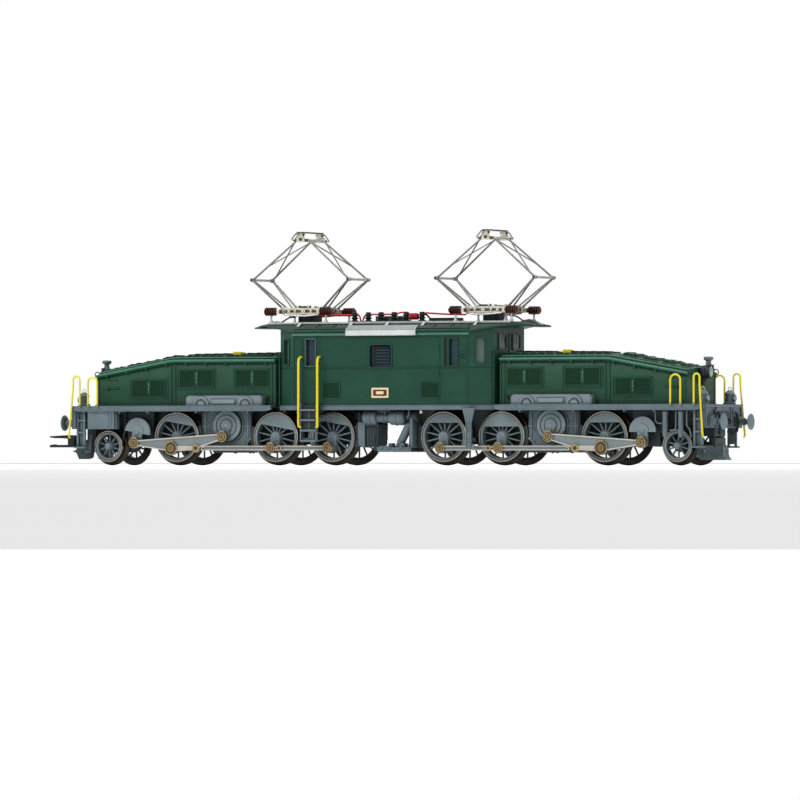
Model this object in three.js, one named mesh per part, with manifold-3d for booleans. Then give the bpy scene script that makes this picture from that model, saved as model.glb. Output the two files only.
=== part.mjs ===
// Model electric locomotive, H0 scale (1:87): two six-wheel rod-driven bogies with low bonnets, a short cab
// body bridging them and two folding diamond pantographs.
// Millimetres, +X along the track towards the rear end, +Y to the left of travel, +Z up.
// The parts are laid out with Z = 0 at the rail top and X = 0 midway between the bogies; the last lines move
// the whole model so that its origin is the centre of its bounding box's bottom face.
import * as THREE from 'three';
import { mergeVertices } from 'three/addons/utils/BufferGeometryUtils.js';
import Module from 'manifold-3d';

const wasm = await Module();
wasm.setup();

// ---- driving dimensions -------------------------------------------------------------------------------
const DRIVING_RADIUS = 7.75;
const CARRYING_RADIUS = 4.95;
const FLANGE = 1.1;
const WHEEL_BACK = 7.0;
const WHEEL_FACE = 10.0;
const FLANGE_WIDTH = 0.8;
const AXLE_RADIUS = 1.2;
const RUNNING_CLEARANCE = 0.15;

const DRIVING_AXLES = [73.5, 38.8, 19.1];
const CARRYING_AXLE = 97.7;
const BLIND_SHAFT = { x: 86.7, z: 9.4 };
const DRIVE_SHAFT = { x: 55.7, z: 11.3 };
const CRANK = 3.5;
const PIN_RADIUS = 0.9;
const PIN_END = 12.9;
const ROD_INNER = 11.6;
const ROD_OUTER = 12.6;
const ROD_JOINT_X = 65.0;
const CRANK_ANGLE_FRONT = -100;
const CRANK_ANGLE_REAR = -180;

const BOGIE_PIVOT = 45;
const PONY_PIVOT = 80;
const SPINE_HALF_WIDTH = 5.8;
const DECK_BOTTOM = 16.9;
const DECK_TOP = 17.5;
const DECK_HALF_WIDTH = 14.2;
const DECK_REAR = 38.4;
const DECK_FRONT = 108.5;
const SKIRT_BOTTOM = 15.8;

const HOOD_HALF_WIDTH = 10.2;
const HOOD_SEAM = 75;
const HOOD_FRONT = 101.2;
const HOOD_WALL = 0.8;

const SILL_BOTTOM = 16.0;
const SILL_TOP = 17.4;
const FLOOR_TOP = 18.4;
const BODY_HALF_WIDTH = 15.1;
const BODY_SIDE_END = 30.1;
const BODY_END = 36.7;
const BODY_END_HALF_WIDTH = 10.6;
const BODY_TOP = 39.8;
const BODY_WALL = 1.0;
const ROOF_TOP = 43.4;

const BUFFER_FACE = 113.5;
const BUFFER_SPACING = 10.06;
const BUFFER_HEIGHT = 12.2;
const COUPLER_TIP = 123.3;
const COUPLER_PIVOT = 106;

const MOTOR_AXIS = 25.9;
const PANTOGRAPH_X = 31.8;
const PANTOGRAPH = {
  pivotX: 6.3, pivotZ: 47.0, pivotY: 5.0,
  kneeX: 16.7, kneeZ: 56.5, kneeY: 7.0,
  topX: 2.0, topZ: 68.7, topY: 5.0,
  headTop: 71.3,
};

// ---- materials ----------------------------------------------------------------------------------------
const paint = (color, roughness, metalness = 0) => () =>
  new THREE.MeshStandardMaterial({ color, roughness, metalness });
const bodyGreen = paint(0x22503e, 0.42);
const hoodGreen = paint(0x2d5a46, 0.45);
const roofGreen = paint(0x2a4438, 0.5);
const frameGrey = paint(0x5f6c73, 0.5, 0.2);
const wheelGrey = paint(0x6a767c, 0.45, 0.4);
const rodSteel = paint(0xa9a79f, 0.35, 0.8);
const railYellow = paint(0xd9c22c, 0.4);
const pantographSilver = paint(0xb9b6aa, 0.35, 0.7);
const insulatorBrown = paint(0x2b201b, 0.4);
const conductorRed = paint(0xb8282c, 0.4);
const darkPlastic = paint(0x1d2022, 0.5);
const shaftSteel = paint(0x8d9296, 0.3, 0.9);
const lampGrey = paint(0x50585c, 0.4, 0.3);
const glassBlue = () => new THREE.MeshStandardMaterial({
  color: 0x3f5262, roughness: 0.1, metalness: 0, transparent: true, opacity: 0.4,
});

// ---- solid helpers ------------------------------------------------------------------------------------
function solid(geometry) {
  const bare = geometry.clone();
  bare.deleteAttribute('normal');
  bare.deleteAttribute('uv');
  const merged = mergeVertices(bare, 1e-4);
  const made = new wasm.Manifold(new wasm.Mesh({
    numProp: 3,
    vertProperties: new Float32Array(merged.attributes.position.array),
    triVerts: new Uint32Array(merged.index.array),
  }));
  if (made.volume() > 0) return made;
  const flipped = merged.index.array.slice();
  for (let i = 0; i < flipped.length; i += 3) {
    [flipped[i + 1], flipped[i + 2]] = [flipped[i + 2], flipped[i + 1]];
  }
  return new wasm.Manifold(new wasm.Mesh({
    numProp: 3,
    vertProperties: new Float32Array(merged.attributes.position.array),
    triVerts: new Uint32Array(flipped),
  }));
}

function join(...pieces) {
  return pieces.flat().reduce((whole, piece) => whole.add(piece));
}

function cut(whole, ...tools) {
  return tools.flat().reduce((rest, tool) => rest.subtract(tool), whole);
}

function node(name, shape, material) {
  const mesh = shape.getMesh();
  const geometry = new THREE.BufferGeometry();
  geometry.setAttribute('position', new THREE.BufferAttribute(new Float32Array(mesh.vertProperties), 3));
  geometry.setIndex(new THREE.BufferAttribute(new Uint32Array(mesh.triVerts), 1));
  geometry.computeVertexNormals();
  const made = new THREE.Mesh(geometry, material());
  made.name = name;
  return made;
}

// A box given by its two corners along each axis.
function box([x0, x1], [y0, y1], [z0, z1]) {
  const geometry = new THREE.BoxGeometry(Math.abs(x1 - x0), Math.abs(y1 - y0), Math.abs(z1 - z0));
  return solid(geometry.translate((x0 + x1) / 2, (y0 + y1) / 2, (z0 + z1) / 2));
}

// A round bar between two points, also used for pins and shafts.
function bar(from, to, radius, segments = 5) {
  const start = new THREE.Vector3(...from);
  const end = new THREE.Vector3(...to);
  const direction = end.clone().sub(start);
  const geometry = new THREE.CylinderGeometry(radius, radius, direction.length(), segments);
  const turn = new THREE.Quaternion().setFromUnitVectors(new THREE.Vector3(0, 1, 0), direction.normalize());
  geometry.applyQuaternion(turn);
  const middle = start.add(end).multiplyScalar(0.5);
  return solid(geometry.translate(middle.x, middle.y, middle.z));
}

// An outline drawn in X and Z, thickened along Y.
function sidePlate(points, [y0, y1]) {
  const shape = new THREE.Shape(points.map(([x, z]) => new THREE.Vector2(x, z)));
  const geometry = new THREE.ExtrudeGeometry(shape, { depth: y1 - y0, bevelEnabled: false });
  geometry.rotateX(Math.PI / 2);
  return solid(geometry.translate(0, y1, 0));
}

// An outline drawn in X and Y, raised along Z.
function floorPlate(points, [z0, z1]) {
  const shape = new THREE.Shape(points.map(([x, y]) => new THREE.Vector2(x, y)));
  const geometry = new THREE.ExtrudeGeometry(shape, { depth: z1 - z0, bevelEnabled: false });
  return solid(geometry.translate(0, 0, z0));
}

// An outline drawn in Y and Z, thickened along X.
function crossPlate(points, [x0, x1]) {
  const shape = new THREE.Shape(points.map(([y, z]) => new THREE.Vector2(y, z)));
  const geometry = new THREE.ExtrudeGeometry(shape, { depth: x1 - x0, bevelEnabled: false });
  const axes = [new THREE.Vector3(0, 1, 0), new THREE.Vector3(0, 0, 1), new THREE.Vector3(1, 0, 0)];
  geometry.applyMatrix4(new THREE.Matrix4().makeBasis(...axes));
  return solid(geometry.translate(x0, 0, 0));
}

// A shape turned about the Y axis, given as [radius, y] points from axis to axis.
function turned(points, segments) {
  return solid(new THREE.LatheGeometry(points.map(([r, y]) => new THREE.Vector2(r, y)), segments));
}

// Convex cross-sections in Y and Z, joined along X.
function loft(sections) {
  const count = sections[0].points.length;
  const positions = sections.flatMap(({ x, points }) => points.flatMap(([y, z]) => [x, y, z]));
  const index = [];
  for (let s = 0; s + 1 < sections.length; s += 1) {
    for (let i = 0; i < count; i += 1) {
      const a = s * count + i;
      const b = s * count + ((i + 1) % count);
      index.push(a, b, b + count, a, b + count, a + count);
    }
  }
  const last = (sections.length - 1) * count;
  for (let i = 1; i + 1 < count; i += 1) {
    index.push(0, i + 1, i, last, last + i, last + i + 1);
  }
  const geometry = new THREE.BufferGeometry();
  geometry.setAttribute('position', new THREE.Float32BufferAttribute(positions, 3));
  geometry.setIndex(index);
  return solid(geometry);
}

// A bent wire with a square section, following straight legs and a half-round top.
function wireLoop([x0, x1], y, [footZ0, footZ1], topZ, radius, splay = 0) {
  const bend = Math.abs(x1 - x0) / 2;
  const middle = (x0 + x1) / 2;
  const along = Math.sign(x1 - x0);
  const points = [[x0 - along * splay, footZ0], [x0, topZ - bend]];
  for (let step = 1; step < 6; step += 1) {
    const angle = Math.PI - (step * Math.PI) / 6;
    points.push([middle + along * bend * Math.cos(angle), topZ - bend + bend * Math.sin(angle)]);
  }
  points.push([x1, topZ - bend], [x1, footZ1]);
  return thickLine(points, radius, [y - radius, y + radius]);
}

// A line of constant width drawn in X and Z, thickened along Y.
function thickLine(points, radius, span) {
  const offset = (sign) => points.map(([x, z], i) => {
    const [ax, az] = points[Math.max(i - 1, 0)];
    const [bx, bz] = points[Math.min(i + 1, points.length - 1)];
    const length = Math.hypot(bx - ax, bz - az);
    return [x - (sign * radius * (bz - az)) / length, z + (sign * radius * (bx - ax)) / length];
  });
  return sidePlate([...offset(1), ...offset(-1).reverse()], span);
}

const mirrored = (make) => [-1, 1].map(make);
const degrees = (angle) => (angle * Math.PI) / 180;

// ---- wheels, shafts and rods --------------------------------------------------------------------------
// Wheels are solid discs with a raised rim and hub, on one axle.
function wheelset(radius, segments, hubRadius) {
  const rim = radius - 1.2;
  const half = [
    [AXLE_RADIUS, WHEEL_BACK],
    [radius + FLANGE, WHEEL_BACK],
    [radius, WHEEL_BACK + FLANGE_WIDTH],
    [radius, WHEEL_FACE],
    [rim, WHEEL_FACE],
    [rim, WHEEL_FACE - 0.8],
    [hubRadius, WHEEL_FACE - 0.8],
    [hubRadius, WHEEL_FACE + 0.3],
    [0, WHEEL_FACE + 0.3],
  ];
  return turned([...half.map(([r, y]) => [r, -y]).reverse(), ...half], segments);
}

// The crank pins of one shaft: the second side leads the first by a quarter turn.
function pinOffset(side, crankAngle) {
  const angle = degrees(side < 0 ? crankAngle : crankAngle + 90);
  return [CRANK * Math.cos(angle), CRANK * Math.sin(angle)];
}

function crankPins(crankAngle, from) {
  return mirrored((side) => {
    const [dx, dz] = pinOffset(side, crankAngle);
    const collar = bar([dx, side * from, dz], [dx, side * (ROD_INNER - 0.2), dz], 1.4, 6);
    return collar.add(bar([dx, side * from, dz], [dx, side * PIN_END, dz], PIN_RADIUS, 6));
  });
}

function drivingWheelset(crankAngle) {
  return join(wheelset(DRIVING_RADIUS, 18, 2.0), crankPins(crankAngle, WHEEL_FACE - 1.2));
}

function blindShaft(crankAngle) {
  const shaft = bar([0, -10.6, 0], [0, 10.6, 0], AXLE_RADIUS, 12);
  const cranks = mirrored((side) => {
    const [dx, dz] = pinOffset(side, crankAngle);
    const pinAngle = Math.atan2(dz, dx);
    const outline = [];
    for (let step = 0; step <= 8; step += 1) {
      const angle = pinAngle + Math.PI / 2 + (step * Math.PI) / 8;
      outline.push([4.3 * Math.cos(angle), 4.3 * Math.sin(angle)]);
    }
    for (const turn of [-0.45, 0, 0.45]) {
      const reach = CRANK + 1.3;
      outline.push([reach * Math.cos(pinAngle + turn), reach * Math.sin(pinAngle + turn)]);
    }
    return sidePlate(outline, side < 0 ? [-11.3, -10.4] : [10.4, 11.3]);
  });
  return join(shaft, cranks, crankPins(crankAngle, 10.8));
}

function driveShaft(crankAngle) {
  const half = [[AXLE_RADIUS, 9.6], [4.9, 9.6], [4.9, 10.6], [3.6, 10.6], [3.6, 10.9], [0, 10.9]];
  const discs = turned([...half.map(([r, y]) => [r, -y]).reverse(), ...half], 16);
  return join(discs, crankPins(crankAngle, 10.4));
}

// An eye of a rod with its hole, and the plate between eyes.
function rod(eyes, outline, side) {
  const span = side < 0 ? [-ROD_OUTER, -ROD_INNER] : [ROD_INNER, ROD_OUTER];
  const bosses = eyes.map(({ x, z, radius }) => bar([x, span[0] - 0.1, z], [x, span[1] + 0.1, z], radius, 10));
  const holes = eyes.filter(({ open }) => open)
    .map(({ x, z }) => bar([x, span[0] - 1, z], [x, span[1] + 1, z], PIN_RADIUS + RUNNING_CLEARANCE, 8));
  return cut(join(sidePlate(outline, span), bosses), holes);
}

function triangleRod(side, crankAngle) {
  const [dx, dz] = pinOffset(side, crankAngle);
  const blind = { x: -BLIND_SHAFT.x + dx, z: BLIND_SHAFT.z + dz, radius: 1.7, open: true };
  const wheel = { x: -DRIVING_AXLES[0] + dx, z: DRIVING_RADIUS + dz, radius: 2.4, open: true };
  const drive = { x: -DRIVE_SHAFT.x + dx, z: DRIVE_SHAFT.z + dz, radius: 1.7, open: true };
  const outline = [
    [blind.x, blind.z - 0.7], [wheel.x, wheel.z - 1.0], [-ROD_JOINT_X - 1.6 + dx, wheel.z - 0.6],
    [drive.x, drive.z - 0.9], [drive.x, drive.z + 0.9], [blind.x, blind.z + 0.7],
  ];
  return rod([blind, wheel, drive], outline, side);
}

function couplingRod(side, crankAngle) {
  const [dx, dz] = pinOffset(side, crankAngle);
  const z = DRIVING_RADIUS + dz;
  const joint = -ROD_JOINT_X + 2.1 + dx;
  const [, second, third] = DRIVING_AXLES;
  const eyes = [second, third].map((x) => ({ x: -x + dx, z, radius: 1.6, open: true }));
  const outline = [
    [joint, z - 0.7], [-third + dx, z - 0.7], [-third + dx, z + 0.7], [joint + 2.4, z + 0.7], [joint, z + 0.1],
  ];
  return rod(eyes, outline, side);
}

// ---- bogie frame, bonnet and end fittings -------------------------------------------------------------
function bogieSpine() {
  const low = 5.4;
  const main = sidePlate([
    [-13.4, 8], [-13.4, 15], [-15, 16.5], [-DECK_REAR, 16.5], [-DECK_REAR, DECK_BOTTOM + 0.2],
    [-90, DECK_BOTTOM + 0.2], [-90, 7.8], [-77, 7.8], [-76, low], [-16, low],
  ], [-SPINE_HALF_WIDTH, SPINE_HALF_WIDTH]);
  const nose = box([-107.4, -89], [-4, 4], [7.8, DECK_BOTTOM + 0.2]);
  const housing = box([-63.3, -48.9], [-9.3, 9.3], [4.2, DECK_BOTTOM + 0.2]);
  const keeper = box([-62.5, -42], [-6.4, 6.4], [2.9, low + 0.2]);
  const tower = box([-57, -49.5], [-4, 4], [DECK_BOTTOM, 28.5]);
  const cup = bar([-50, 0, MOTOR_AXIS], [-46.7, 0, MOTOR_AXIS], 2, 10);
  return [main, nose, housing, keeper, tower, cup];
}

function bogieDeck() {
  const plate = box([-DECK_FRONT, -DECK_REAR], [-DECK_HALF_WIDTH, DECK_HALF_WIDTH], [DECK_BOTTOM, DECK_TOP]);
  const skirts = mirrored((side) => box(
    [-DECK_FRONT, -DECK_REAR],
    [side * (DECK_HALF_WIDTH - 0.8), side * DECK_HALF_WIDTH],
    [SKIRT_BOTTOM, DECK_BOTTOM + 0.1],
  ));
  return [plate, ...skirts];
}

// The buffer beam, corner steps, battery box, lanterns and guard brackets at the outer end.
function bogieEnd() {
  const beam = box([-DECK_FRONT, -DECK_FRONT + 1.2], [-13.6, 13.6], [10.4, DECK_TOP]);
  const corners = mirrored((side) => {
    const posts = [-107.4, -105.0].map((x) => box(
      [x, x + 0.7], [side * 12.2, side * 13.0], [4.4, DECK_BOTTOM + 0.1],
    ));
    const board = box([-107.6, -104.1], [side * 11.9, side * 13.9], [4.3, 4.8]);
    const lantern = bar([-106.3, side * 10, DECK_TOP - 0.1], [-106.3, side * 10, 21.6], 1.4, 10);
    const handle = box([-106.7, -105.9], [side * 10 - 0.2, side * 10 + 0.2], [21.5, 22.6]);
    return [...posts, board, lantern, handle];
  });
  const batteryBox = box([-103, -93], [-13.7, -11.2], [10.3, DECK_BOTTOM + 0.1]);
  const hangers = [-102.4, -97.6].map((x) => box([x, x + 1], [12.4, 13.2], [7.6, DECK_BOTTOM + 0.1]));
  const pipe = box([-102.4, -96.6], [12.4, 13.2], [7.6, 8.4]);
  return [beam, corners.flat(), batteryBox, hangers, pipe].flat();
}

function bogieFrame(withCoupler) {
  const whole = join(bogieSpine(), bogieDeck(), bogieEnd());
  const axle = (x, z, radius = AXLE_RADIUS) =>
    bar([-x, -12, z], [-x, 12, z], radius + RUNNING_CLEARANCE, 10);
  const bores = [
    ...DRIVING_AXLES.map((x) => axle(x, DRIVING_RADIUS)),
    axle(BLIND_SHAFT.x, BLIND_SHAFT.z),
    axle(DRIVE_SHAFT.x, DRIVE_SHAFT.z),
    bar([-BOGIE_PIVOT, 0, 11.5], [-BOGIE_PIVOT, 0, DECK_TOP + 1], 1.5 + 0.3, 12),
  ];
  const ponyPin = bar([-PONY_PIVOT, 0, 4.2], [-PONY_PIVOT, 0, 8.4], 1.1, 10);
  const couplerPin = bar([-COUPLER_PIVOT, 0, 4.6], [-COUPLER_PIVOT, 0, 8.4], 0.8, 10);
  const pins = withCoupler ? [ponyPin, couplerPin] : [ponyPin];
  return join(cut(whole, bores), pins);
}

// The bonnet keeps one height as far as its seam, then slopes down to the front.
function hoodShell() {
  const stations = [
    { x: -DECK_REAR, gutter: 31.0, top: 34.0 },
    { x: -HOOD_SEAM, gutter: 31.0, top: 33.4 },
    { x: -HOOD_FRONT, gutter: 26.4, top: 28.6 },
  ];
  const section = (inset, bottom) => ({ x, gutter, top }) => {
    const side = HOOD_HALF_WIDTH - inset;
    const half = [[side, bottom], [side, gutter - inset], [side - 1.2, gutter + 1.3 - inset], [5, top - inset]];
    return { x, points: [...half, ...half.map(([y, z]) => [-y, z]).reverse()] };
  };
  const outer = loft(stations.map(section(0, DECK_TOP + 0.05)));
  const inside = stations.map((station) => ({ ...station }));
  inside[0].x = -DECK_REAR - HOOD_WALL;
  inside[2].x = -HOOD_FRONT + HOOD_WALL;
  const inner = loft(inside.map(section(HOOD_WALL, DECK_TOP - 1)));
  const passage = box([-DECK_REAR - 2, -DECK_REAR + 1], [-4.2, 4.2], [DECK_TOP - 1, 29.5]);
  return cut(outer, inner, passage);
}

function headlamp() {
  const can = bar([-HOOD_FRONT - 0.4, 0, 30.4], [-HOOD_FRONT - 3.3, 0, 30.4], 1.6, 12);
  const bracket = box([-HOOD_FRONT - 1.3, -HOOD_FRONT - 0.35], [-0.8, 0.8], [25, 30]);
  return can.add(bracket);
}

// Yellow grab rails: a tall loop at the beam and a shorter one beside the bonnet, on one foot strip.
function endRails(side) {
  const y = side * 14.6;
  const outer = wireLoop([-107.6, -105.4], y, [8, DECK_TOP + 0.1], 26.9, 0.3, 1.4);
  const inner = wireLoop([-102.3, -99.2], y, [DECK_TOP + 0.1, DECK_TOP + 0.1], 26.4, 0.3);
  const strip = box([-107.9, -98.9], [y - side * 0.5, y + side * 0.3], [DECK_TOP + 0.05, DECK_TOP + 0.55]);
  return join(outer, inner, strip);
}

function buffer(side) {
  const y = side * BUFFER_SPACING;
  const at = (x) => [-x, y, BUFFER_HEIGHT];
  return join(
    bar(at(DECK_FRONT + 0.05), at(DECK_FRONT + 2.2), 1.4, 12),
    bar(at(DECK_FRONT + 2), at(BUFFER_FACE - 0.5), 0.9, 12),
    bar(at(BUFFER_FACE - 0.7), at(BUFFER_FACE), 2.45, 20),
  );
}

function ponyTruck() {
  const arm = box([-96, -78.2], [-2.2, 2.2], [4.6, 6.4]);
  const block = box([-99.7, -95.7], [-5.6, 5.6], [3.0, 7.0]);
  const pinHole = bar([-PONY_PIVOT, 0, 4], [-PONY_PIVOT, 0, 7], 1.1 + 0.2, 12);
  const axleHole = bar(
    [-CARRYING_AXLE, -7, CARRYING_RADIUS], [-CARRYING_AXLE, 7, CARRYING_RADIUS],
    AXLE_RADIUS + RUNNING_CLEARANCE, 12,
  );
  return cut(join(arm, block), pinHole, axleHole);
}

// A draw hook head of two fingers on a swinging shank.
function coupler() {
  const shank = box([-114, -COUPLER_PIVOT + 1.4], [-1.4, 1.4], [5.0, 7.0]);
  const head = box([-116, -113], [-3.4, 3.4], [4.6, 8.4]);
  const upper = floorPlate([
    [-116, -3.2], [-115, -3.2], [-115, 3.2], [-116, 3.2], [-COUPLER_TIP, 1.6], [-COUPLER_TIP, -1.6],
  ], [7.4, 8.4]);
  const lower = floorPlate([[-115, -2.6], [-115, 2.6], [-COUPLER_TIP, 1.9], [-COUPLER_TIP, -1.9]], [4.6, 5.6]);
  const hole = bar([-COUPLER_PIVOT, 0, 4], [-COUPLER_PIVOT, 0, 8], 0.8 + 0.2, 12);
  return cut(join(shank, head, upper, lower), hole);
}

// A blunt V blade under the beam, held by a rib that rises to it.
function snowPlough() {
  const blade = floorPlate([
    [-105.6, -11.6], [-108.4, 0], [-105.6, 11.6], [-107.2, 11.6], [-110.4, 0], [-107.2, -11.6],
  ], [0.6, 5.2]);
  const rib = box([-109.4, -107.2], [-4.5, 4.5], [4.6, 7.75]);
  return join(blade, rib);
}

// ---- body, roof and centre parts ----------------------------------------------------------------------
// The body's plan: long sides, slanted corner panels and narrow ends.
function bodyPlan(offset) {
  const quarter = [
    [BODY_END + offset, BODY_END_HALF_WIDTH + 0.4 * offset],
    [BODY_SIDE_END + 0.4 * offset, BODY_HALF_WIDTH + offset],
  ];
  const [end, side] = quarter;
  return [end, side, [-side[0], side[1]], [-end[0], end[1]],
    [-end[0], -end[1]], [-side[0], -side[1]], [side[0], -side[1]], [end[0], -end[1]]];
}

function bodyShell() {
  const walls = floorPlate(bodyPlan(0), [SILL_TOP + 0.05, BODY_TOP]);
  const room = floorPlate(bodyPlan(-BODY_WALL), [SILL_TOP - 1, BODY_TOP + 1]);
  const sideWindow = (x0, x1, z0, z1) => [
    box([x0, x1], [-BODY_HALF_WIDTH - 1, -BODY_HALF_WIDTH + 2], [z0, z1]),
    box([-x1, -x0], [BODY_HALF_WIDTH - 2, BODY_HALF_WIDTH + 1], [z0, z1]),
  ];
  const windows = [
    ...sideWindow(-25.6, -22.0, 29.6, 37.4),
    ...sideWindow(-3.6, 4.3, 28.6, 36.0),
    ...sideWindow(23.2, 26.2, 29.6, 37.9),
  ];
  for (const end of [-1, 1]) {
    windows.push(box([end * (BODY_END - 2), end * (BODY_END + 1)], [-3.6, 3.6], [SILL_TOP - 1, 28.9]));
    for (const side of [-1, 1]) {
      windows.push(box([end * (BODY_END - 2), end * (BODY_END + 1)], [side * 2.2, side * 7.4], [34.8, 39.0]));
    }
  }
  return cut(walls, room, windows);
}

function windowGlazing() {
  const outer = floorPlate(bodyPlan(-BODY_WALL - 0.15), [29.6, 39.3]);
  return cut(outer, floorPlate(bodyPlan(-BODY_WALL - 0.65), [29, 40]));
}

function roof() {
  const plan = [];
  const corners = [[30.6, 15.9], [37.6, 12.4], [42.0, 9.9], [45.8, 7.6], [47.9, 3.4]];
  for (const [x, y] of corners) plan.push([x, y]);
  for (const [x, y] of [...corners].reverse()) plan.push([x, -y]);
  for (const [x, y] of corners) plan.push([-x, -y]);
  for (const [x, y] of [...corners].reverse()) plan.push([-x, y]);
  const slab = floorPlate(plan, [BODY_TOP + 0.05, ROOF_TOP + 1]);
  const half = [[16.2, BODY_TOP - 1], [16.2, 40.5], [13.2, 41.7], [9.3, 42.5], [9.3, ROOF_TOP]];
  const points = [...half, ...half.map(([y, z]) => [-y, z]).reverse()];
  const dome = slab.intersect(crossPlate(points, [-60, 60]));
  const visorPlan = [[49.4, 5.4], [50.8, 1.8], [50.8, -1.8], [49.4, -5.4]];
  const visors = [-1, 1].map((end) => floorPlate([
    [end * 44, 8.6], ...visorPlan.map(([x, y]) => [end * x, y]), [end * 44, -8.6],
  ], [40.6, 41.3]));
  return join(dome, visors);
}

// The frame under the body: a sill all round, a floor, two tongues with king pins, and tanks between bogies.
function mainFrame() {
  const sill = cut(
    floorPlate(bodyPlan(0.25), [SILL_BOTTOM, SILL_TOP]),
    floorPlate(bodyPlan(-1.9), [SILL_BOTTOM - 1, SILL_TOP - 0.4]),
    box([-BODY_END - 1, BODY_END + 1], [-9.5, 9.5], [SILL_BOTTOM - 1, SILL_TOP - 0.4]),
  );
  const floor = floorPlate(bodyPlan(-BODY_WALL - 0.2), [SILL_TOP - 0.4, FLOOR_TOP]);
  const tongues = [-1, 1].map((end) => join(
    box([end * 30, end * (BOGIE_PIVOT + 2.4)], [-3.2, 3.2], [FLOOR_TOP - 0.5, 19.6]),
    bar([end * BOGIE_PIVOT, 0, 12], [end * BOGIE_PIVOT, 0, 18.6], 1.5, 12),
  ));
  const rack = box([-8.2, 8.2], [-9, 9], [5.6, SILL_TOP - 0.3]);
  const tanks = mirrored((side) => bar([-7.8, side * 11, 13.6], [6.6, side * 11, 13.6], 2.2, 12));
  const tankRack = box([-7, 6], [-12.6, 12.6], [14.6, SILL_TOP - 0.3]);
  const stepBar = box([-2.5, 8.2], [-12.4, 12.4], [3.2, 4.8]);
  const stepPosts = box([0, 3], [-8, 8], [4.6, 6]);
  return join(sill, floor, tongues, rack, tanks, tankRack, stepBar, stepPosts);
}

// The steps under the side door with their two tall hand rails; the other side's are turned about Z.
function doorSteps() {
  const centre = -23.8;
  const stringers = [-1, 1].map((end) => box(
    [centre + end * 2.4, centre + end * 2.9], [-17.2, -16.1], [6.2, SILL_TOP + 0.4],
  ));
  const treads = [6.2, 9.4, 12.6].map((z) => box([centre - 2.8, centre + 2.8], [-17.6, -16.1], [z, z + 0.5]));
  const bracket = box([centre - 2.8, centre + 2.8], [-16.5, -15.45], [SILL_BOTTOM, SILL_TOP]);
  const rails = [-1, 1].map((end) => {
    const x = centre + end * 3.25;
    return join(
      bar([x, -17.3, 10.8], [x, -17.3, 32.0], 0.35),
      bar([x, -17.4, 31.8], [x, -15.2, 32.3], 0.35),
      bar([x, -17.3, 12.8], [x - end * 0.8, -16.8, 12.8], 0.3),
    );
  });
  return join(stringers, treads, bracket, rails);
}

function motor() {
  return join(
    bar([-12, 0, MOTOR_AXIS], [12, 0, MOTOR_AXIS], 6.8, 18),
    bar([-14.2, 0, MOTOR_AXIS], [14.2, 0, MOTOR_AXIS], 1, 10),
    box([-10, 10], [-5, 5], [FLOOR_TOP + 0.05, 22]),
  );
}

function cardanShaft() {
  return join(
    bar([-14.5, 0, MOTOR_AXIS], [-18, 0, MOTOR_AXIS], 2.2, 10),
    bar([-17, 0, MOTOR_AXIS], [-45, 0, MOTOR_AXIS], 0.8, 8),
    bar([-44, 0, MOTOR_AXIS], [-46, 0, MOTOR_AXIS], 1.3, 10),
  );
}

// The roof conductor on its row of post insulators.
function roofLine() {
  const strip = box([-16.5, 20], [-3.6, 3.6], [ROOF_TOP + 0.05, ROOF_TOP + 0.6]);
  const posts = [-14.5, -9.5, -4.5, 1, 6, 12, 17].map((x) => bar([x, -2, ROOF_TOP], [x, -2, 46], 1.0, 6));
  const line = bar([-21.6, -2, 45.6], [21.6, -2, 45.6], 0.4);
  return join(strip, posts.map((post) => cut(post, box([-30, 30], [-9, 9], [40, ROOF_TOP + 0.05]))), line);
}

// ---- pantographs --------------------------------------------------------------------------------------
function pantographBase() {
  const insulators = mirrored((end) => mirrored((side) => join(
    bar([end * 7.2, side * 8, 46.6], [end * 11.5, side * 8, 46.6], 1.25, 8),
    bar([end * 9.3, side * 8, ROOF_TOP + 0.05], [end * 9.3, side * 8, 46.6], 0.5),
    box([end * 6.6, end * 7.4], [side * 5.9, side * 8.6], [46.0, 47.2]),
  ))).flat();
  const rails = mirrored((side) => box([-7.4, 7.4], [side * 5.9, side * 6.6], [46.0, 47.8]));
  const crossBars = mirrored((end) => box([end * 2.4, end * 4.0], [-6.2, 6.2], [45.9, 46.7]));
  const block = box([-4.4, 4.4], [-3.6, 3.6], [ROOF_TOP + 0.65, 46.4]);
  return join(insulators, rails, crossBars, block);
}

function lowerArm() {
  const { pivotX, pivotZ, pivotY, kneeX, kneeZ, kneeY } = PANTOGRAPH;
  const tubes = mirrored((side) => [
    bar([pivotX, side * pivotY, pivotZ], [kneeX, side * kneeY, kneeZ], 0.4),
    bar([pivotX, side * (pivotY - 1.6), pivotZ], [kneeX, side * (kneeY - 0.4), kneeZ], 0.3),
  ]).flat();
  return join(
    bar([pivotX, -5.5, pivotZ], [pivotX, 5.5, pivotZ], 0.65, 6),
    bar([kneeX, -kneeY - 0.4, kneeZ], [kneeX, kneeY + 0.4, kneeZ], 0.5, 6),
    tubes,
  );
}

function upperArm() {
  const { kneeX, kneeZ, topX, topZ, topY } = PANTOGRAPH;
  const reach = Math.hypot(kneeX - topX, topZ - kneeZ);
  const along = (distance, y) => [
    kneeX + ((topX - kneeX) * distance) / reach, y, kneeZ + ((topZ - kneeZ) * distance) / reach,
  ];
  const foot = 1.3;
  const tubes = mirrored((side) => [
    bar(along(foot, side * 6.6), along(reach, side * topY), 0.35),
    bar(along(foot + 1.2, side * 6.4), along(reach - 1.2, -side * topY * 0.95), 0.25),
  ]).flat();
  return join(bar(along(reach, -topY - 0.4), along(reach, topY + 0.4), 0.45, 6), tubes);
}

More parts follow.
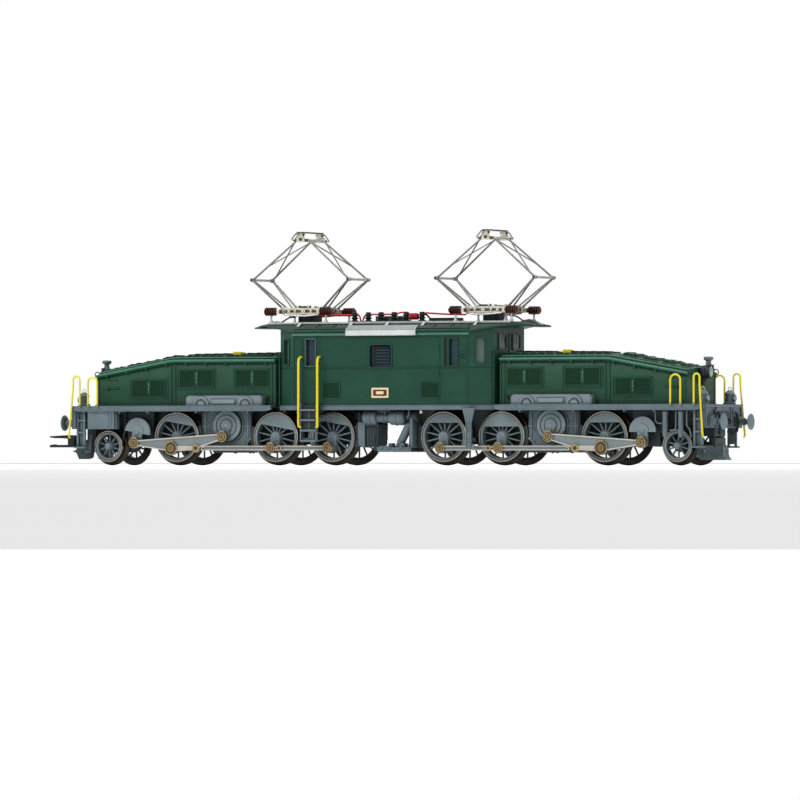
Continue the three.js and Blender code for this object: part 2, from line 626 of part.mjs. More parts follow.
function collectorHead() {
  const { topX, topZ, headTop } = PANTOGRAPH;
  const links = mirrored((side) => join(
    box([-topX - 0.7, topX + 0.7], [side * 6.0, side * 6.6], [topZ - 0.5, topZ + 0.6]),
    box([-1.0, 1.0], [side * 5.9, side * 6.9], [topZ, headTop - 0.3]),
  ));
  const bow = [[-11.8, headTop - 2.6], [-7.6, headTop], [7.6, headTop], [11.8, headTop - 2.6]];
  const outline = [...bow, ...bow.map(([y, z]) => [y * 0.985, z - 0.6]).reverse()];
  return join(links, crossPlate(outline, [-0.9, 0.9]));
}

// ---- assembly -----------------------------------------------------------------------------------------
function bogieGroup(end, crankAngle) {
  const group = new THREE.Group();
  // The rear bogie is the front one turned half round, so its two sides change names.
  const sideName = (side) => ((side < 0) === (end === 'front') ? 'near' : 'far');
  const place = (name, shape, material, x = 0, z = 0) => {
    const mesh = node(name, shape, material);
    mesh.position.set(x, 0, z);
    group.add(mesh);
  };
  place(`bogie_frame_${end}`, bogieFrame(end === 'front'), frameGrey);
  place(`hood_${end}`, hoodShell(), hoodGreen);
  place(`headlamp_${end}`, headlamp(), lampGrey);
  place(`pony_truck_${end}`, ponyTruck(), frameGrey);
  place(`carrying_wheelset_${end}`, wheelset(CARRYING_RADIUS, 16, 1.5), wheelGrey,
    -CARRYING_AXLE, CARRYING_RADIUS);
  DRIVING_AXLES.forEach((x, i) => {
    place(`driving_wheelset_${end}_${i + 1}`, drivingWheelset(crankAngle), wheelGrey, -x, DRIVING_RADIUS);
  });
  place(`blind_jackshaft_${end}`, blindShaft(crankAngle), frameGrey, -BLIND_SHAFT.x, BLIND_SHAFT.z);
  place(`drive_jackshaft_${end}`, driveShaft(crankAngle), frameGrey, -DRIVE_SHAFT.x, DRIVE_SHAFT.z);
  for (const side of [-1, 1]) {
    place(`triangle_rod_${end}_${sideName(side)}`, triangleRod(side, crankAngle), rodSteel);
    place(`coupling_rod_${end}_${sideName(side)}`, couplingRod(side, crankAngle), rodSteel);
    place(`end_rails_${end}_${sideName(side)}`, endRails(side), railYellow);
    place(`buffer_${end}_${sideName(side)}`, buffer(side), frameGrey);
  }
  if (end === 'front') {
    place('coupler_front', coupler(), darkPlastic);
  } else {
    place('snow_plough_rear', snowPlough(), frameGrey);
    group.rotation.z = Math.PI;
  }
  return group;
}

function pantographGroup(end) {
  const group = new THREE.Group();
  group.position.x = end === 'front' ? -PANTOGRAPH_X : PANTOGRAPH_X;
  group.add(node(`pantograph_base_${end}`, pantographBase(), pantographSilver));
  group.add(node(`collector_head_${end}`, collectorHead(), pantographSilver));
  for (const [half, turn] of [['outer', end === 'front' ? Math.PI : 0], ['inner', end === 'front' ? 0 : Math.PI]]) {
    for (const [part, make] of [['lower_arm', lowerArm], ['upper_arm', upperArm]]) {
      const arm = node(`${part}_${end}_${half}`, make(), pantographSilver);
      arm.rotation.z = turn;
      group.add(arm);
    }
  }
  return group;
}

const locomotive = new THREE.Group();
locomotive.add(node('main_frame', mainFrame(), frameGrey));
locomotive.add(node('body_shell', bodyShell(), bodyGreen));
locomotive.add(node('window_glazing', windowGlazing(), glassBlue));
locomotive.add(node('roof', roof(), roofGreen));
locomotive.add(node('roof_line', roofLine(), conductorRed));
locomotive.add(node('motor', motor(), darkPlastic));
for (const [side, turn] of [['near', 0], ['far', Math.PI]]) {
  const steps = node(`door_steps_${side}`, doorSteps(), railYellow);
  steps.rotation.z = turn;
  locomotive.add(steps);
}
for (const [end, turn] of [['front', 0], ['rear', Math.PI]]) {
  const shaft = node(`cardan_shaft_${end}`, cardanShaft(), shaftSteel);
  shaft.rotation.z = turn;
  locomotive.add(shaft);
}
locomotive.add(bogieGroup('front', CRANK_ANGLE_FRONT));
locomotive.add(bogieGroup('rear', CRANK_ANGLE_REAR));
locomotive.add(pantographGroup('front'));
locomotive.add(pantographGroup('rear'));
locomotive.position.set((COUPLER_TIP - BUFFER_FACE) / 2, 0, FLANGE);

export default locomotive;
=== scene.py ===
"""Looks of an H0-scale electric locomotive: an articulated, rod-driven engine with sloping bonnets.

Shapes are written in millimetres in the locomotive's own axes: X = 0 midway between the bogies, Z = 0 at the
rail top, the near side at negative Y. Everything on a bogie is written once, for the front one; the rear one
is the same bogie turned half round. place() turns those millimetres into metres in the frame.
"""
import math

import bmesh
import bpy
from mathutils import Matrix, Vector
from mathutils.geometry import tessellate_polygon


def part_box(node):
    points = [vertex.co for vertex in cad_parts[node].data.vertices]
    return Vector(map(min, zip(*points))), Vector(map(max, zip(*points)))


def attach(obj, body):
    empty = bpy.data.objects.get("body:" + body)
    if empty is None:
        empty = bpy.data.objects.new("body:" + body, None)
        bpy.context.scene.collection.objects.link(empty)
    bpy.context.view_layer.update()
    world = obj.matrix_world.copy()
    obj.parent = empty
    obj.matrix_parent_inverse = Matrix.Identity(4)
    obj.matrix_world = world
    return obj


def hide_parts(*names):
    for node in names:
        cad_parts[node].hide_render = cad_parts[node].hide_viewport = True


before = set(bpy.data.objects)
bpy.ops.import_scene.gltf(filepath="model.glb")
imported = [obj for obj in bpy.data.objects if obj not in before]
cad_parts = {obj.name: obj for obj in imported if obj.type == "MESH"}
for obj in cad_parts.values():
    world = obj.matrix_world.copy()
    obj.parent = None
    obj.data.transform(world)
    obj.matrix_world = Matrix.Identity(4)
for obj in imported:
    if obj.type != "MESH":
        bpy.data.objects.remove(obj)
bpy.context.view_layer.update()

MM = 0.001
ENDS = ("front", "rear")
SIDES = (-1, 1)

# ---- driving dimensions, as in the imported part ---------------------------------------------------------
DRIVING_RADIUS, CARRYING_RADIUS, FLANGE = 7.75, 4.95, 1.1
WHEEL_BACK, WHEEL_FACE = 7.0, 10.0
DRIVING_AXLES = (-73.5, -38.8, -19.1)
CARRYING_AXLE = -97.7
BLIND_SHAFT = (-86.7, 9.4)
DRIVE_SHAFT = (-55.7, 11.3)
CRANK = 3.5
CRANK_ANGLES = {"front": -100.0, "rear": -180.0}
ROD_INNER, ROD_OUTER, PIN_END = 11.6, 12.6, 12.9
ROD_JOINT_X = -65.0
DECK_REAR, DECK_FRONT, DECK_BOTTOM, DECK_TOP, DECK_HALF = -38.4, -108.5, 16.9, 17.5, 14.2
SKIRT_BOTTOM = 15.8
HOOD_HALF, HOOD_SEAM, HOOD_FRONT = 10.2, -75.0, -101.2
BODY_HALF, BODY_SIDE_END, BODY_END, BODY_END_HALF = 15.1, 30.1, 36.7, 10.6
SILL_BOTTOM, SILL_TOP, BODY_TOP, ROOF_TOP = 16.0, 17.45, 39.8, 43.4
BUFFER_FACE, BUFFER_Y, BUFFER_Z = -113.5, 10.06, 12.2
COUPLER_TIP = -123.3
PANTOGRAPH_X = 31.8


def middle(node):
    low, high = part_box(node)
    return (low + high) / 2


_front, _rear = middle("carrying_wheelset_front"), middle("carrying_wheelset_rear")
ORIGIN = Vector(((_front.x + _rear.x) / 2, 0, _front.z - CARRYING_RADIUS * MM))


def side_name(end, side):
    """Negative Y is the near side on the front bogie, and the far side on the rear one once it is turned."""
    return "near" if (side < 0) == (end == "front") else "far"


# ---- materials -----------------------------------------------------------------------------------------
class Nodes:
    """A short way to write a material's node tree."""

    def __init__(self, name):
        self.material = bpy.data.materials.new(name)
        self.material.use_nodes = True
        self.tree = self.material.node_tree
        self.shader = self.tree.nodes["Principled BSDF"]
        self.coords = self.tree.nodes.new("ShaderNodeTexCoord").outputs["Object"]

    def add(self, kind, **settings):
        made = self.tree.nodes.new("ShaderNode" + kind)
        for key, value in settings.items():
            setattr(made, key, value)
        return made

    def link(self, source, target):
        self.tree.links.new(source, target)

    def noise(self, size_mm, detail=3.0, stretch=(1, 1, 1)):
        mapping = self.add("Mapping")
        mapping.inputs["Scale"].default_value = [s / (size_mm * MM) for s in stretch]
        self.link(self.coords, mapping.inputs["Vector"])
        noise = self.add("TexNoise")
        noise.inputs["Scale"].default_value = 1.0
        noise.inputs["Detail"].default_value = detail
        self.link(mapping.outputs["Vector"], noise.inputs["Vector"])
        return noise.outputs["Fac"]

    def ramp(self, source, low, high, low_value=0.0, high_value=1.0):
        node = self.add("MapRange")
        for key, value in (("From Min", low), ("From Max", high), ("To Min", low_value), ("To Max", high_value)):
            node.inputs[key].default_value = value
        self.link(source, node.inputs["Value"])
        return node.outputs["Result"]

    def mix(self, factor, first, second):
        node = self.add("Mix", data_type="RGBA")
        inputs = {socket.identifier: socket for socket in node.inputs}
        self.link(factor, inputs["Factor_Float"])
        for socket, value in ((inputs["A_Color"], first), (inputs["B_Color"], second)):
            if isinstance(value, tuple):
                socket.default_value = (*value, 1)
            else:
                self.link(value, socket)
        return next(s for s in node.outputs if s.identifier == "Result_Color")

    def hollows(self, reach_mm, strength):
        """How deep in a corner a point lies, for painted shade: 0 in the open, strength in a hollow."""
        occlusion = self.add("AmbientOcclusion", samples=4)
        occlusion.inputs["Distance"].default_value = reach_mm * MM
        return self.ramp(occlusion.outputs["AO"], 0.3, 0.9, strength, 0.0)

    def edges(self, reach_mm, strength):
        """How close a point lies to an edge: 0 on a flat, strength on the edge itself."""
        bevel = self.add("Bevel", samples=4)
        bevel.inputs["Radius"].default_value = reach_mm * MM
        turned = self.add("VectorMath", operation="DOT_PRODUCT")
        self.link(bevel.outputs["Normal"], turned.inputs[0])
        self.link(self.add("NewGeometry").outputs["Normal"], turned.inputs[1])
        return self.ramp(turned.outputs["Value"], 0.8, 0.99, strength, 0.0)

    def bump(self, height, strength, depth_mm):
        node = self.add("Bump")
        node.inputs["Strength"].default_value = strength
        node.inputs["Distance"].default_value = depth_mm * MM
        self.link(height, node.inputs["Height"])
        self.link(node.outputs["Normal"], self.shader.inputs["Normal"])


def linear(red, green, blue):
    """Display colour values from 0 to 255 as the renderer's linear ones."""
    return tuple(c / 255 / 12.92 if c <= 10 else ((c / 255 + 0.055) / 1.055) ** 2.4 for c in (red, green, blue))


def shaded(color, factor):
    return tuple(min(1.0, c * factor) for c in color)


def paint(name, color, roughness=0.4, metallic=0.0, mottle=0.12, edge=0.5, grain=0.35, shade=0.3,
          gloss=0.22):
    """Sprayed paint: faint mottling, fine orange peel, edges lighter (partly rubbed paint, partly a painted highlight)
    and painted shade in the hollows.
    """
    n = Nodes(name)
    base = linear(*color)
    tone = n.mix(n.ramp(n.noise(6.0, 4.0), 0.3, 0.7), shaded(base, 1 - mottle), shaded(base, 1 + mottle))
    # Edges lighter: partly rubbed paint, partly a painted highlight.
    tone = n.mix(n.edges(0.22, edge), tone, tuple(c * 1.9 + 0.003 for c in base))
    # Painted shade: darker in wide hollows (strength from shade) and in tight ones.
    tone = n.mix(n.hollows(8.0, shade), tone, shaded(base, 0.3))
    tone = n.mix(n.hollows(1.6, 1.0), tone, shaded(base, 0.35))
    n.link(tone, n.shader.inputs["Base Color"])
    n.link(n.ramp(n.noise(2.2), 0.3, 0.7, roughness - 0.06, roughness + 0.08), n.shader.inputs["Roughness"])
    n.shader.inputs["Metallic"].default_value = metallic
    n.shader.inputs["Specular IOR Level"].default_value = gloss
    n.bump(n.noise(0.5, 2.0), grain, 0.02)
    return n.material


def metal(name, color, roughness=0.3, brushed=(1, 1, 1), tarnish=0.25, grain=0.15):
    """Bare or plated metal, brushed across the axis with the largest stretch, tarnished in patches, with painted shade
    in the hollows.
    """
    n = Nodes(name)
    base = linear(*color)
    tone = n.mix(n.ramp(n.noise(3.0, 4.0), 0.35, 0.7, 0.0, tarnish), base, shaded(base, 0.45))
    # Painted shade in the hollows.
    tone = n.mix(n.hollows(1.2, 0.8), tone, shaded(base, 0.3))
    n.link(tone, n.shader.inputs["Base Color"])
    n.shader.inputs["Metallic"].default_value = 0.9
    n.link(n.ramp(n.noise(1.6), 0.3, 0.7, roughness - 0.04, roughness + 0.1), n.shader.inputs["Roughness"])
    n.bump(n.noise(0.4, 2.0, brushed), grain, 0.01)
    return n.material


def glass(name, color, opacity):
    """Tinted glazing with a slight waviness."""
    n = Nodes(name)
    base = linear(*color)
    n.link(n.mix(n.ramp(n.noise(9.0), 0.35, 0.65), base, shaded(base, 1.3)), n.shader.inputs["Base Color"])
    n.shader.inputs["Roughness"].default_value = 0.06
    n.shader.inputs["Alpha"].default_value = opacity
    n.bump(n.noise(4.0), 0.15, 0.02)
    return n.material


BODY_GREEN = paint("body_green_paint", (17, 61, 46), 0.36)
HOOD_GREEN = paint("hood_green_paint", (24, 67, 47), 0.4, edge=0.7)
# A lighter green standing for a painted highlight on mouldings, rails, bars and visor ribs.
HIGHLIGHT_GREEN = paint("moulding_highlight_green_paint", (62, 112, 92), 0.3, edge=0.8)
# A darker green: partly painted shade among vent slats, and painted shadow under the gutter rails and along the corner
# panels' belt rib.
VENT_SHADOW_GREEN = paint("vent_shadow_green_paint", (14, 52, 33), 0.55, edge=0.0, shade=0.1, gloss=0.1)
ROOF_GREEN = paint("roof_green_paint", (34, 62, 50), 0.45)
# shade=0.9 here and below: strong painted shade in the hollows of the grey parts.
GREY = paint("frame_grey_paint", (92, 107, 113), 0.42, edge=0.6, shade=0.9)
PALE_GREY = paint("wheel_grey_paint", (116, 130, 135), 0.42, edge=0.6, shade=0.9)
PLOUGH_GREY = paint("plough_grey_paint", (60, 73, 77), 0.45, shade=0.8)
# The frame grey darkened: partly dark parts, partly painted shade under the deck, behind the wheels and under the body.
DARK_AND_SHADED_GREY = paint("dark_and_shaded_grey_paint", (48, 58, 62), 0.5, shade=0.6)
BLACK = paint("black_plastic", (24, 27, 29), 0.45, edge=0.4)
YELLOW = paint("rail_yellow_paint", (214, 198, 28), 0.3, edge=0.15, mottle=0.06)
RED = paint("conductor_red_paint", (196, 36, 44), 0.35, edge=0.2)
# edge=0.9: strong edge lightening, painted highlights on the ribs and rims.
BROWN = paint("insulator_brown_glaze", (78, 46, 36), 0.18, edge=0.9)
POST_GREEN = paint("post_insulator_glaze", (26, 42, 36), 0.25)
PANEL = paint("pale_grey_panel", (188, 191, 191), 0.42, edge=0.3)
WINDOW_FRAME = paint("window_frame_grey", (62, 88, 80), 0.35, metallic=0.2, edge=0.5)
PLATE = paint("cream_plate", (206, 190, 150), 0.4, edge=0.3)
SILVER = paint("roof_silver_paint", (190, 192, 192), 0.35, metallic=0.35, edge=0.3)
CREAM_SILVER = paint("base_cream_silver", (206, 202, 184), 0.4, metallic=0.3, edge=0.3)
STEEL = metal("rod_steel", (196, 192, 180), 0.3, (1, 6, 6))
WEB_STEEL = metal("rod_web_steel", (128, 138, 140), 0.36, (1, 6, 6))
BRASS = metal("bearing_brass", (168, 150, 114), 0.32)
BRONZE = metal("pin_bronze", (88, 74, 52), 0.38)
# Tyre steel darkened on the tread and flange: painted shade.
SHADED_TREAD = metal("tread_shaded_steel", (60, 55, 50), 0.3, tarnish=0.1, grain=0.04)
TYRE_EDGE = metal("tyre_edge_steel", (152, 144, 130), 0.25, tarnish=0.1, grain=0.04)
WIRE = metal("pantograph_wire", (128, 128, 124), 0.28, tarnish=0.1, grain=0.02)
DOME_GREEN = paint("dome_dark_green", (18, 36, 28), 0.3)
# The hatch's pale grey darkened for its slope: painted shade.
HATCH_SHADED_GREY = paint("hatch_shaded_grey", (138, 144, 142), 0.4)
WINDOW_SLAT = paint("window_slat_grey", (30, 46, 54), 0.4, edge=0.1, gloss=0.1)
GLASS = glass("window_glass", (32, 47, 60), 0.92)
# A paler copy of the glazing: partly tint, partly a painted reflection.
GLASS_PALE = glass("window_glass_pale", (84, 98, 96), 0.95)
LENS = glass("lamp_lens", (126, 132, 124), 1.0)


# ---- shapes --------------------------------------------------------------------------------------------
class Shape:
    """Closed solids gathered into one mesh, in millimetres. Each solid has the material in use when it is drawn."""

    def __init__(self, material):
        self.points, self.faces, self.slots = [], [], []
        self.materials = [material]
        self.current = 0
        self.matrix = Matrix.Identity(4)

    def use(self, material):
        if material not in self.materials:
            self.materials.append(material)
        self.current = self.materials.index(material)
        return self

    def solid(self, points, faces):
        start = len(self.points)
        self.points += [self.matrix @ Vector(p) for p in points]
        self.faces += [[start + i for i in face] for face in faces]
        self.slots += [self.current] * len(faces)
        return self

    def stack(self, rings):
        """Rings of equal length joined one to the next, the first and last closed by a face."""
        count = len(rings[0])
        last = (len(rings) - 1) * count
        faces = [list(range(count)), [last + i for i in range(count)]]
        for start in range(0, last, count):
            for i in range(count):
                j = (i + 1) % count
                faces.append([start + i, start + j, start + count + j, start + count + i])
        return self.solid([p for ring in rings for p in ring], faces)

    def box(self, x, y, z):
        corners = [(x[0], y[0]), (x[1], y[0]), (x[1], y[1]), (x[0], y[1])]
        return self.stack([[(cx, cy, height) for cx, cy in corners] for height in z])

    def prism(self, outline, span, plane="xz", holes=()):
        """An outline drawn in a plane and thickened along the third axis, with holes through it."""
        raise_to = {
            "xz": lambda u, v, w: (u, w, v),
            "xy": lambda u, v, w: (u, v, w),
            "yz": lambda u, v, w: (w, u, v),
        }[plane]
        if not holes:
            return self.stack([[raise_to(u, v, w) for u, v in outline] for w in span])
        loops = [outline, *holes]
        flat = [p for loop in loops for p in loop]
        count = len(flat)
        caps = tessellate_polygon([[Vector((u, v, 0)) for u, v in loop] for loop in loops])
        faces = [list(cap) for cap in caps] + [[i + count for i in cap] for cap in caps]
        start = 0
        for loop in loops:
            for i in range(len(loop)):
                a, b = start + i, start + (i + 1) % len(loop)
                faces.append([a, b, b + count, a + count])
            start += len(loop)
        return self.solid([raise_to(u, v, w) for w in span for u, v in flat], faces)

    def turned(self, profile, centre=(0, 0, 0), axis="y", segments=40, closed=False):
        """(radius, distance) points turned about an axis; a closed profile makes a ring."""
        cx, cy, cz = centre
        spin = {
            "x": lambda r, d, c, s: (cx + d, cy + r * c, cz + r * s),
            "y": lambda r, d, c, s: (cx + r * s, cy + d, cz + r * c),
            "z": lambda r, d, c, s: (cx + r * c, cy + r * s, cz + d),
        }[axis]
        angles = [math.tau * step / segments for step in range(segments)]
        points = [spin(r, d, math.cos(a), math.sin(a)) for a in angles for r, d in profile]
        size = len(profile)
        faces = []
        for step in range(segments):
            here, there = step * size, (step + 1) % segments * size
            for i in range(size if closed else size - 1):
                j = (i + 1) % size
                faces.append([here + i, here + j, there + j, there + i])
        if not closed:
            faces.append([step * size for step in range(segments)])
            faces.append([step * size + size - 1 for step in range(segments)])
        return self.solid(points, faces)

    def disc(self, centre, radius, depth, axis="y", segments=28, chamfer=0.15):
        """A coin with chamfered rims, for caps, hubs, bolts and washers; depth is (from, to) along the axis."""
        low, high = sorted(depth)
        c = min(chamfer, (high - low) * 0.45, radius * 0.5)
        profile = [(radius - c, low), (radius, low + c), (radius, high - c), (radius - c, high)]
        return self.turned(profile, centre, axis, segments)

    def wire(self, path, radius, sides=10, end_radius=None):
        """A round wire along a path, closed at both ends, and tapering if an end radius is given."""
        path = [Vector(p) for p in path]
        rings = []
        normal = None
        for i, point in enumerate(path):
            ahead = path[min(i + 1, len(path) - 1)] - path[i if i + 1 < len(path) else i - 1]
            back = path[max(i, 1)] - path[max(i - 1, 0)]
            tangent = (ahead.normalized() + back.normalized()).normalized()
            normal = normal or tangent.orthogonal()
            normal = (normal - tangent * normal.dot(tangent)).normalized()
            other = tangent.cross(normal)
            share = i / (len(path) - 1)
            size = radius if end_radius is None else radius + (end_radius - radius) * share
            turn = [math.tau * k / sides for k in range(sides)]
            rings.append([point + (normal * math.cos(a) + other * math.sin(a)) * size for a in turn])
        return self.stack(rings)

    def both_sides(self, draw):
        """Draws the same thing on the side at negative Y and mirrored on the other."""
        kept = self.matrix
        for side in SIDES:
            self.matrix = kept @ Matrix.Diagonal((1, -side, 1, 1))
            draw(self)
        self.matrix = kept
        return self


def place(shape, name, body, replaces=(), end="front", bevel=0.08, smooth=38):
    """Makes the shape an object in the frame, riding on its body."""
    turn = Matrix.Rotation(math.pi, 4, "Z") if end == "rear" else Matrix.Identity(4)
    matrix = Matrix.Translation(ORIGIN) @ turn @ Matrix.Diagonal((MM, MM, MM, 1))
    mesh = bpy.data.meshes.new(name)
    mesh.from_pydata([matrix @ p for p in shape.points], [], shape.faces)
    for material in shape.materials:
        mesh.materials.append(material)
    mesh.polygons.foreach_set("material_index", shape.slots)
    mesh.polygons.foreach_set("use_smooth", [True] * len(mesh.polygons))
    outward = bmesh.new()
    outward.from_mesh(mesh)
    bmesh.ops.recalc_face_normals(outward, faces=outward.faces)
    outward.to_mesh(mesh)
    outward.free()
    piece = bpy.data.objects.new(name, mesh)
    bpy.context.scene.collection.objects.link(piece)
    if bevel:
        rounded_edges = piece.modifiers.new("edges", "BEVEL")
        rounded_edges.width = bevel * MM
        rounded_edges.segments = 2
        rounded_edges.limit_method = "ANGLE"
        rounded_edges.angle_limit = math.radians(smooth)
        rounded_edges.harden_normals = True
    else:
        mesh.set_sharp_from_angle(angle=math.radians(smooth))
    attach(piece, body)
    if replaces:
        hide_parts(*replaces)
    return piece


def arc(cx, cy, radius, start, end, steps):
    """Points along an arc, its angles in degrees."""
    angles = [math.radians(start + (end - start) * i / steps) for i in range(steps + 1)]
    return [(cx + radius * math.cos(a), cy + radius * math.sin(a)) for a in angles]


def circle(cx, cy, radius, steps=24):
    return arc(cx, cy, radius, 0, 360, steps)[:-1]


def rounded(x, y, radius, steps=4):
    """A rectangle with rounded corners, anticlockwise."""
    (x0, x1), (y0, y1) = sorted(x), sorted(y)
    r = min(radius, (x1 - x0) * 0.499, (y1 - y0) * 0.499)
    centres = ((x1 - r, y0 + r, -90), (x1 - r, y1 - r, 0), (x0 + r, y1 - r, 90), (x0 + r, y0 + r, 180))
    return [p for cx, cy, start in centres for p in arc(cx, cy, r, start, start + 90, steps)]


def shrunk(outline, inset):
    """A closed anticlockwise outline moved inwards by the same distance everywhere."""
    result = []
    for i, (x, y) in enumerate(outline):
        (px, py), (nx, ny) = outline[i - 1], outline[(i + 1) % len(outline)]
        a, b = Vector((x - px, y - py)).normalized(), Vector((nx - x, ny - y)).normalized()
        inward_a, inward_b = Vector((-a.y, a.x)), Vector((-b.y, b.x))
        bisector = (inward_a + inward_b) / max(0.3, 1 + inward_a.dot(inward_b))
        result.append((x + bisector.x * inset, y + bisector.y * inset))
    return result


# ---- wheels, shafts and rods ---------------------------------------------------------------------------
def pin_at(end, side):
    """The crank pin's offset from its shaft: the second side leads the first by a quarter turn."""
    angle = math.radians(CRANK_ANGLES[end] + (90 if side > 0 else 0))
    return CRANK * math.cos(angle), CRANK * math.sin(angle)


def ring(shape, centre, inner, outer, depth, chamfer=0.1, segments=56):
    """A flat ring with softened rims."""
    low, high = depth
    profile = [
        (inner, low), (outer - chamfer, low), (outer, low + chamfer), (outer, high - chamfer),
        (outer - chamfer, high), (inner + chamfer, high), (inner, high - chamfer),
    ]
    return shape.turned(profile, centre, "y", segments, closed=True)


def capsule(start, end, start_radius, end_radius, steps=10):
    """The outline round two circles, drawn in X and Z."""
    (ax, az), (bx, bz) = start, end
    heading = math.degrees(math.atan2(bz - az, bx - ax))
    first = arc(ax, az, start_radius, heading + 90, heading + 270, steps)
    return first + arc(bx, bz, end_radius, heading - 90, heading + 90, steps)


def crank_pin(shape, centre, offset, start):
    """A pin with its collar behind the rod and a bronze nut in front of it. Drawn on the positive side."""
    x, z = centre[0] + offset[0], centre[1] + offset[1]
    shape.use(STEEL).disc((x, 0, z), 1.35, (start, ROD_INNER - 0.1))
    shape.use(BRONZE).disc((x, 0, z), 0.85, (start, PIN_END), segments=20)
    shape.use(BRASS).disc((x, 0, z), 1.12, (ROD_OUTER + 0.12, PIN_END + 0.2), segments=6, chamfer=0.1)
    shape.use(BRONZE).disc((x, 0, z), 0.7, (PIN_END, PIN_END + 0.35), segments=18, chamfer=0.12)
    shape.use(BRASS).disc((x, 0, z), 0.3, (PIN_END, PIN_END + 0.48), segments=10, chamfer=0.08)


def spoked_wheel(shape, centre, radius, spokes, hub):
    """A wheel on the positive side: flanged steel tyre, painted rim, tapered spokes and hub."""
    cx, cz = centre
    at = (cx, 0, cz)
    inner = radius - 0.4
    # Tread and flange in the darkened steel: painted shade.
    shape.use(SHADED_TREAD).turned([
        (inner, WHEEL_BACK), (radius + FLANGE - 0.2, WHEEL_BACK), (radius + FLANGE, WHEEL_BACK + 0.25),
        (radius + FLANGE - 0.25, WHEEL_BACK + 0.55), (radius + 0.1, WHEEL_BACK + 0.9),
        (radius, WHEEL_FACE - 0.3), (inner, WHEEL_FACE - 0.3),
    ], at, "y", 72, closed=True)
    shape.use(TYRE_EDGE).turned([
        (inner, WHEEL_FACE - 0.35), (radius, WHEEL_FACE - 0.35), (radius, WHEEL_FACE - 0.12),
        (radius - 0.12, WHEEL_FACE), (inner, WHEEL_FACE),
    ], at, "y", 72, closed=True)
    # The rim's back ring in the darker grey: painted shade.
    shape.use(DARK_AND_SHADED_GREY)
    ring(shape, at, radius - 1.3, inner - 0.02, (WHEEL_BACK + 0.1, WHEEL_BACK + 0.5), 0.1)
    shape.use(PALE_GREY)
    ring(shape, at, radius - 1.25, inner - 0.06, (WHEEL_BACK + 0.2, WHEEL_FACE - 0.1), 0.16)
    for i in range(spokes):
        angle = math.tau * (i + 0.5) / spokes
        along, across = (math.cos(angle), math.sin(angle)), (-math.sin(angle), math.cos(angle))
        rings = []
        for reach, width, deep in ((hub * 0.8, 0.46, 0.62), (hub + 0.6, 0.3, 0.5), (radius - 1.1, 0.23, 0.42)):
            section = [(math.cos(a), math.sin(a)) for a in (math.tau * (k + 0.5) / 8 for k in range(8))]
            rings.append([(
                cx + along[0] * reach + across[0] * width * u,
                8.7 + deep * v,
                cz + along[1] * reach + across[1] * width * u,
            ) for u, v in section])
        shape.stack(rings)
    shape.turned([
        (1.1, WHEEL_BACK + 0.3), (hub, WHEEL_BACK + 0.3), (hub, WHEEL_FACE - 0.3), (hub - 0.25, WHEEL_FACE + 0.05),
        (hub - 0.45, WHEEL_FACE - 0.1), (hub - 0.6, WHEEL_FACE + 0.25), (0.9, WHEEL_FACE + 0.3),
        (0.8, WHEEL_FACE + 0.2), (0.5, WHEEL_FACE + 0.2),
    ], at, "y", 32)
    shape.use(PALE_GREY).disc(at, 0.55, (WHEEL_FACE + 0.1, WHEEL_FACE + 0.4), segments=16)


WEIGHT_CHORDS = (4.3, 3.1, 4.3)


def driving_wheelset(end, index):
    x = DRIVING_AXLES[index]
    shape = Shape(GREY)
    shape.use(STEEL).disc((x, 0, DRIVING_RADIUS), 1.15, (-WHEEL_BACK - 0.5, WHEEL_BACK + 0.5))
    for side in SIDES:
        shape.matrix = Matrix.Diagonal((1, side, 1, 1))
        centre = (x, DRIVING_RADIUS)
        spoked_wheel(shape, centre, DRIVING_RADIUS, 14, 1.9)
        dx, dz = pin_at(end, side)
        pin = (x + dx, DRIVING_RADIUS + dz)
        shape.use(PALE_GREY).prism(capsule(centre, pin, 1.5, 1.6), (8.2, WHEEL_FACE + 0.1))
        heading = math.degrees(math.atan2(-dz, -dx))
        half_angle = math.degrees(math.acos(WEIGHT_CHORDS[index] / 6.6))
        weight = arc(x, DRIVING_RADIUS, 6.6, heading - half_angle, heading + half_angle, 18)
        shape.prism(weight, (8.0, WHEEL_FACE - 0.15))
        crank_pin(shape, centre, (dx, dz), WHEEL_FACE)
    name = f"driving_wheelset_{end}_{index + 1}"
    place(shape, f"spoked_{name}", f"driving_axle_{end}_{index + 1}", [name], end, 0.05)


def carrying_wheelset(end):
    shape = Shape(GREY)
    x, z = CARRYING_AXLE, CARRYING_RADIUS
    shape.use(STEEL).disc((x, 0, z), 1.15, (-WHEEL_BACK - 0.5, WHEEL_BACK + 0.5))
    for side in SIDES:
        shape.matrix = Matrix.Diagonal((1, side, 1, 1))
        spoked_wheel(shape, (x, z), CARRYING_RADIUS, 10, 1.35)
    name = f"carrying_wheelset_{end}"
    place(shape, f"spoked_{name}", f"carrying_axle_{end}", [name], end, 0.05)


def blind_jackshaft(end):
    x, z = BLIND_SHAFT
    shape = Shape(GREY)
    shape.use(STEEL).disc((x, 0, z), 1.15, (-10.6, 10.6))
    for side in SIDES:
        shape.matrix = Matrix.Diagonal((1, side, 1, 1))
        dx, dz = pin_at(end, side)
        heading = math.degrees(math.atan2(dz, dx))
        weight = arc(x, z, 4.4, heading + 86, heading + 274, 24)
        shape.use(PALE_GREY).prism(weight, (10.3, 11.2))
        shape.prism(arc(x, z, 2.1, heading + 94, heading + 266, 14), (11.1, 11.4))
        shape.prism(capsule((x, z), (x + dx, z + dz), 1.7, 1.6), (10.3, 11.25))
        shape.use(WEB_STEEL).disc((x, 0, z), 0.8, (11.0, 11.5), segments=20)
        crank_pin(shape, (x, z), (dx, dz), 11.1)
    name = f"blind_jackshaft_{end}"
    place(shape, f"cranked_{name}", f"blind_shaft_{end}", [name], end, 0.06)


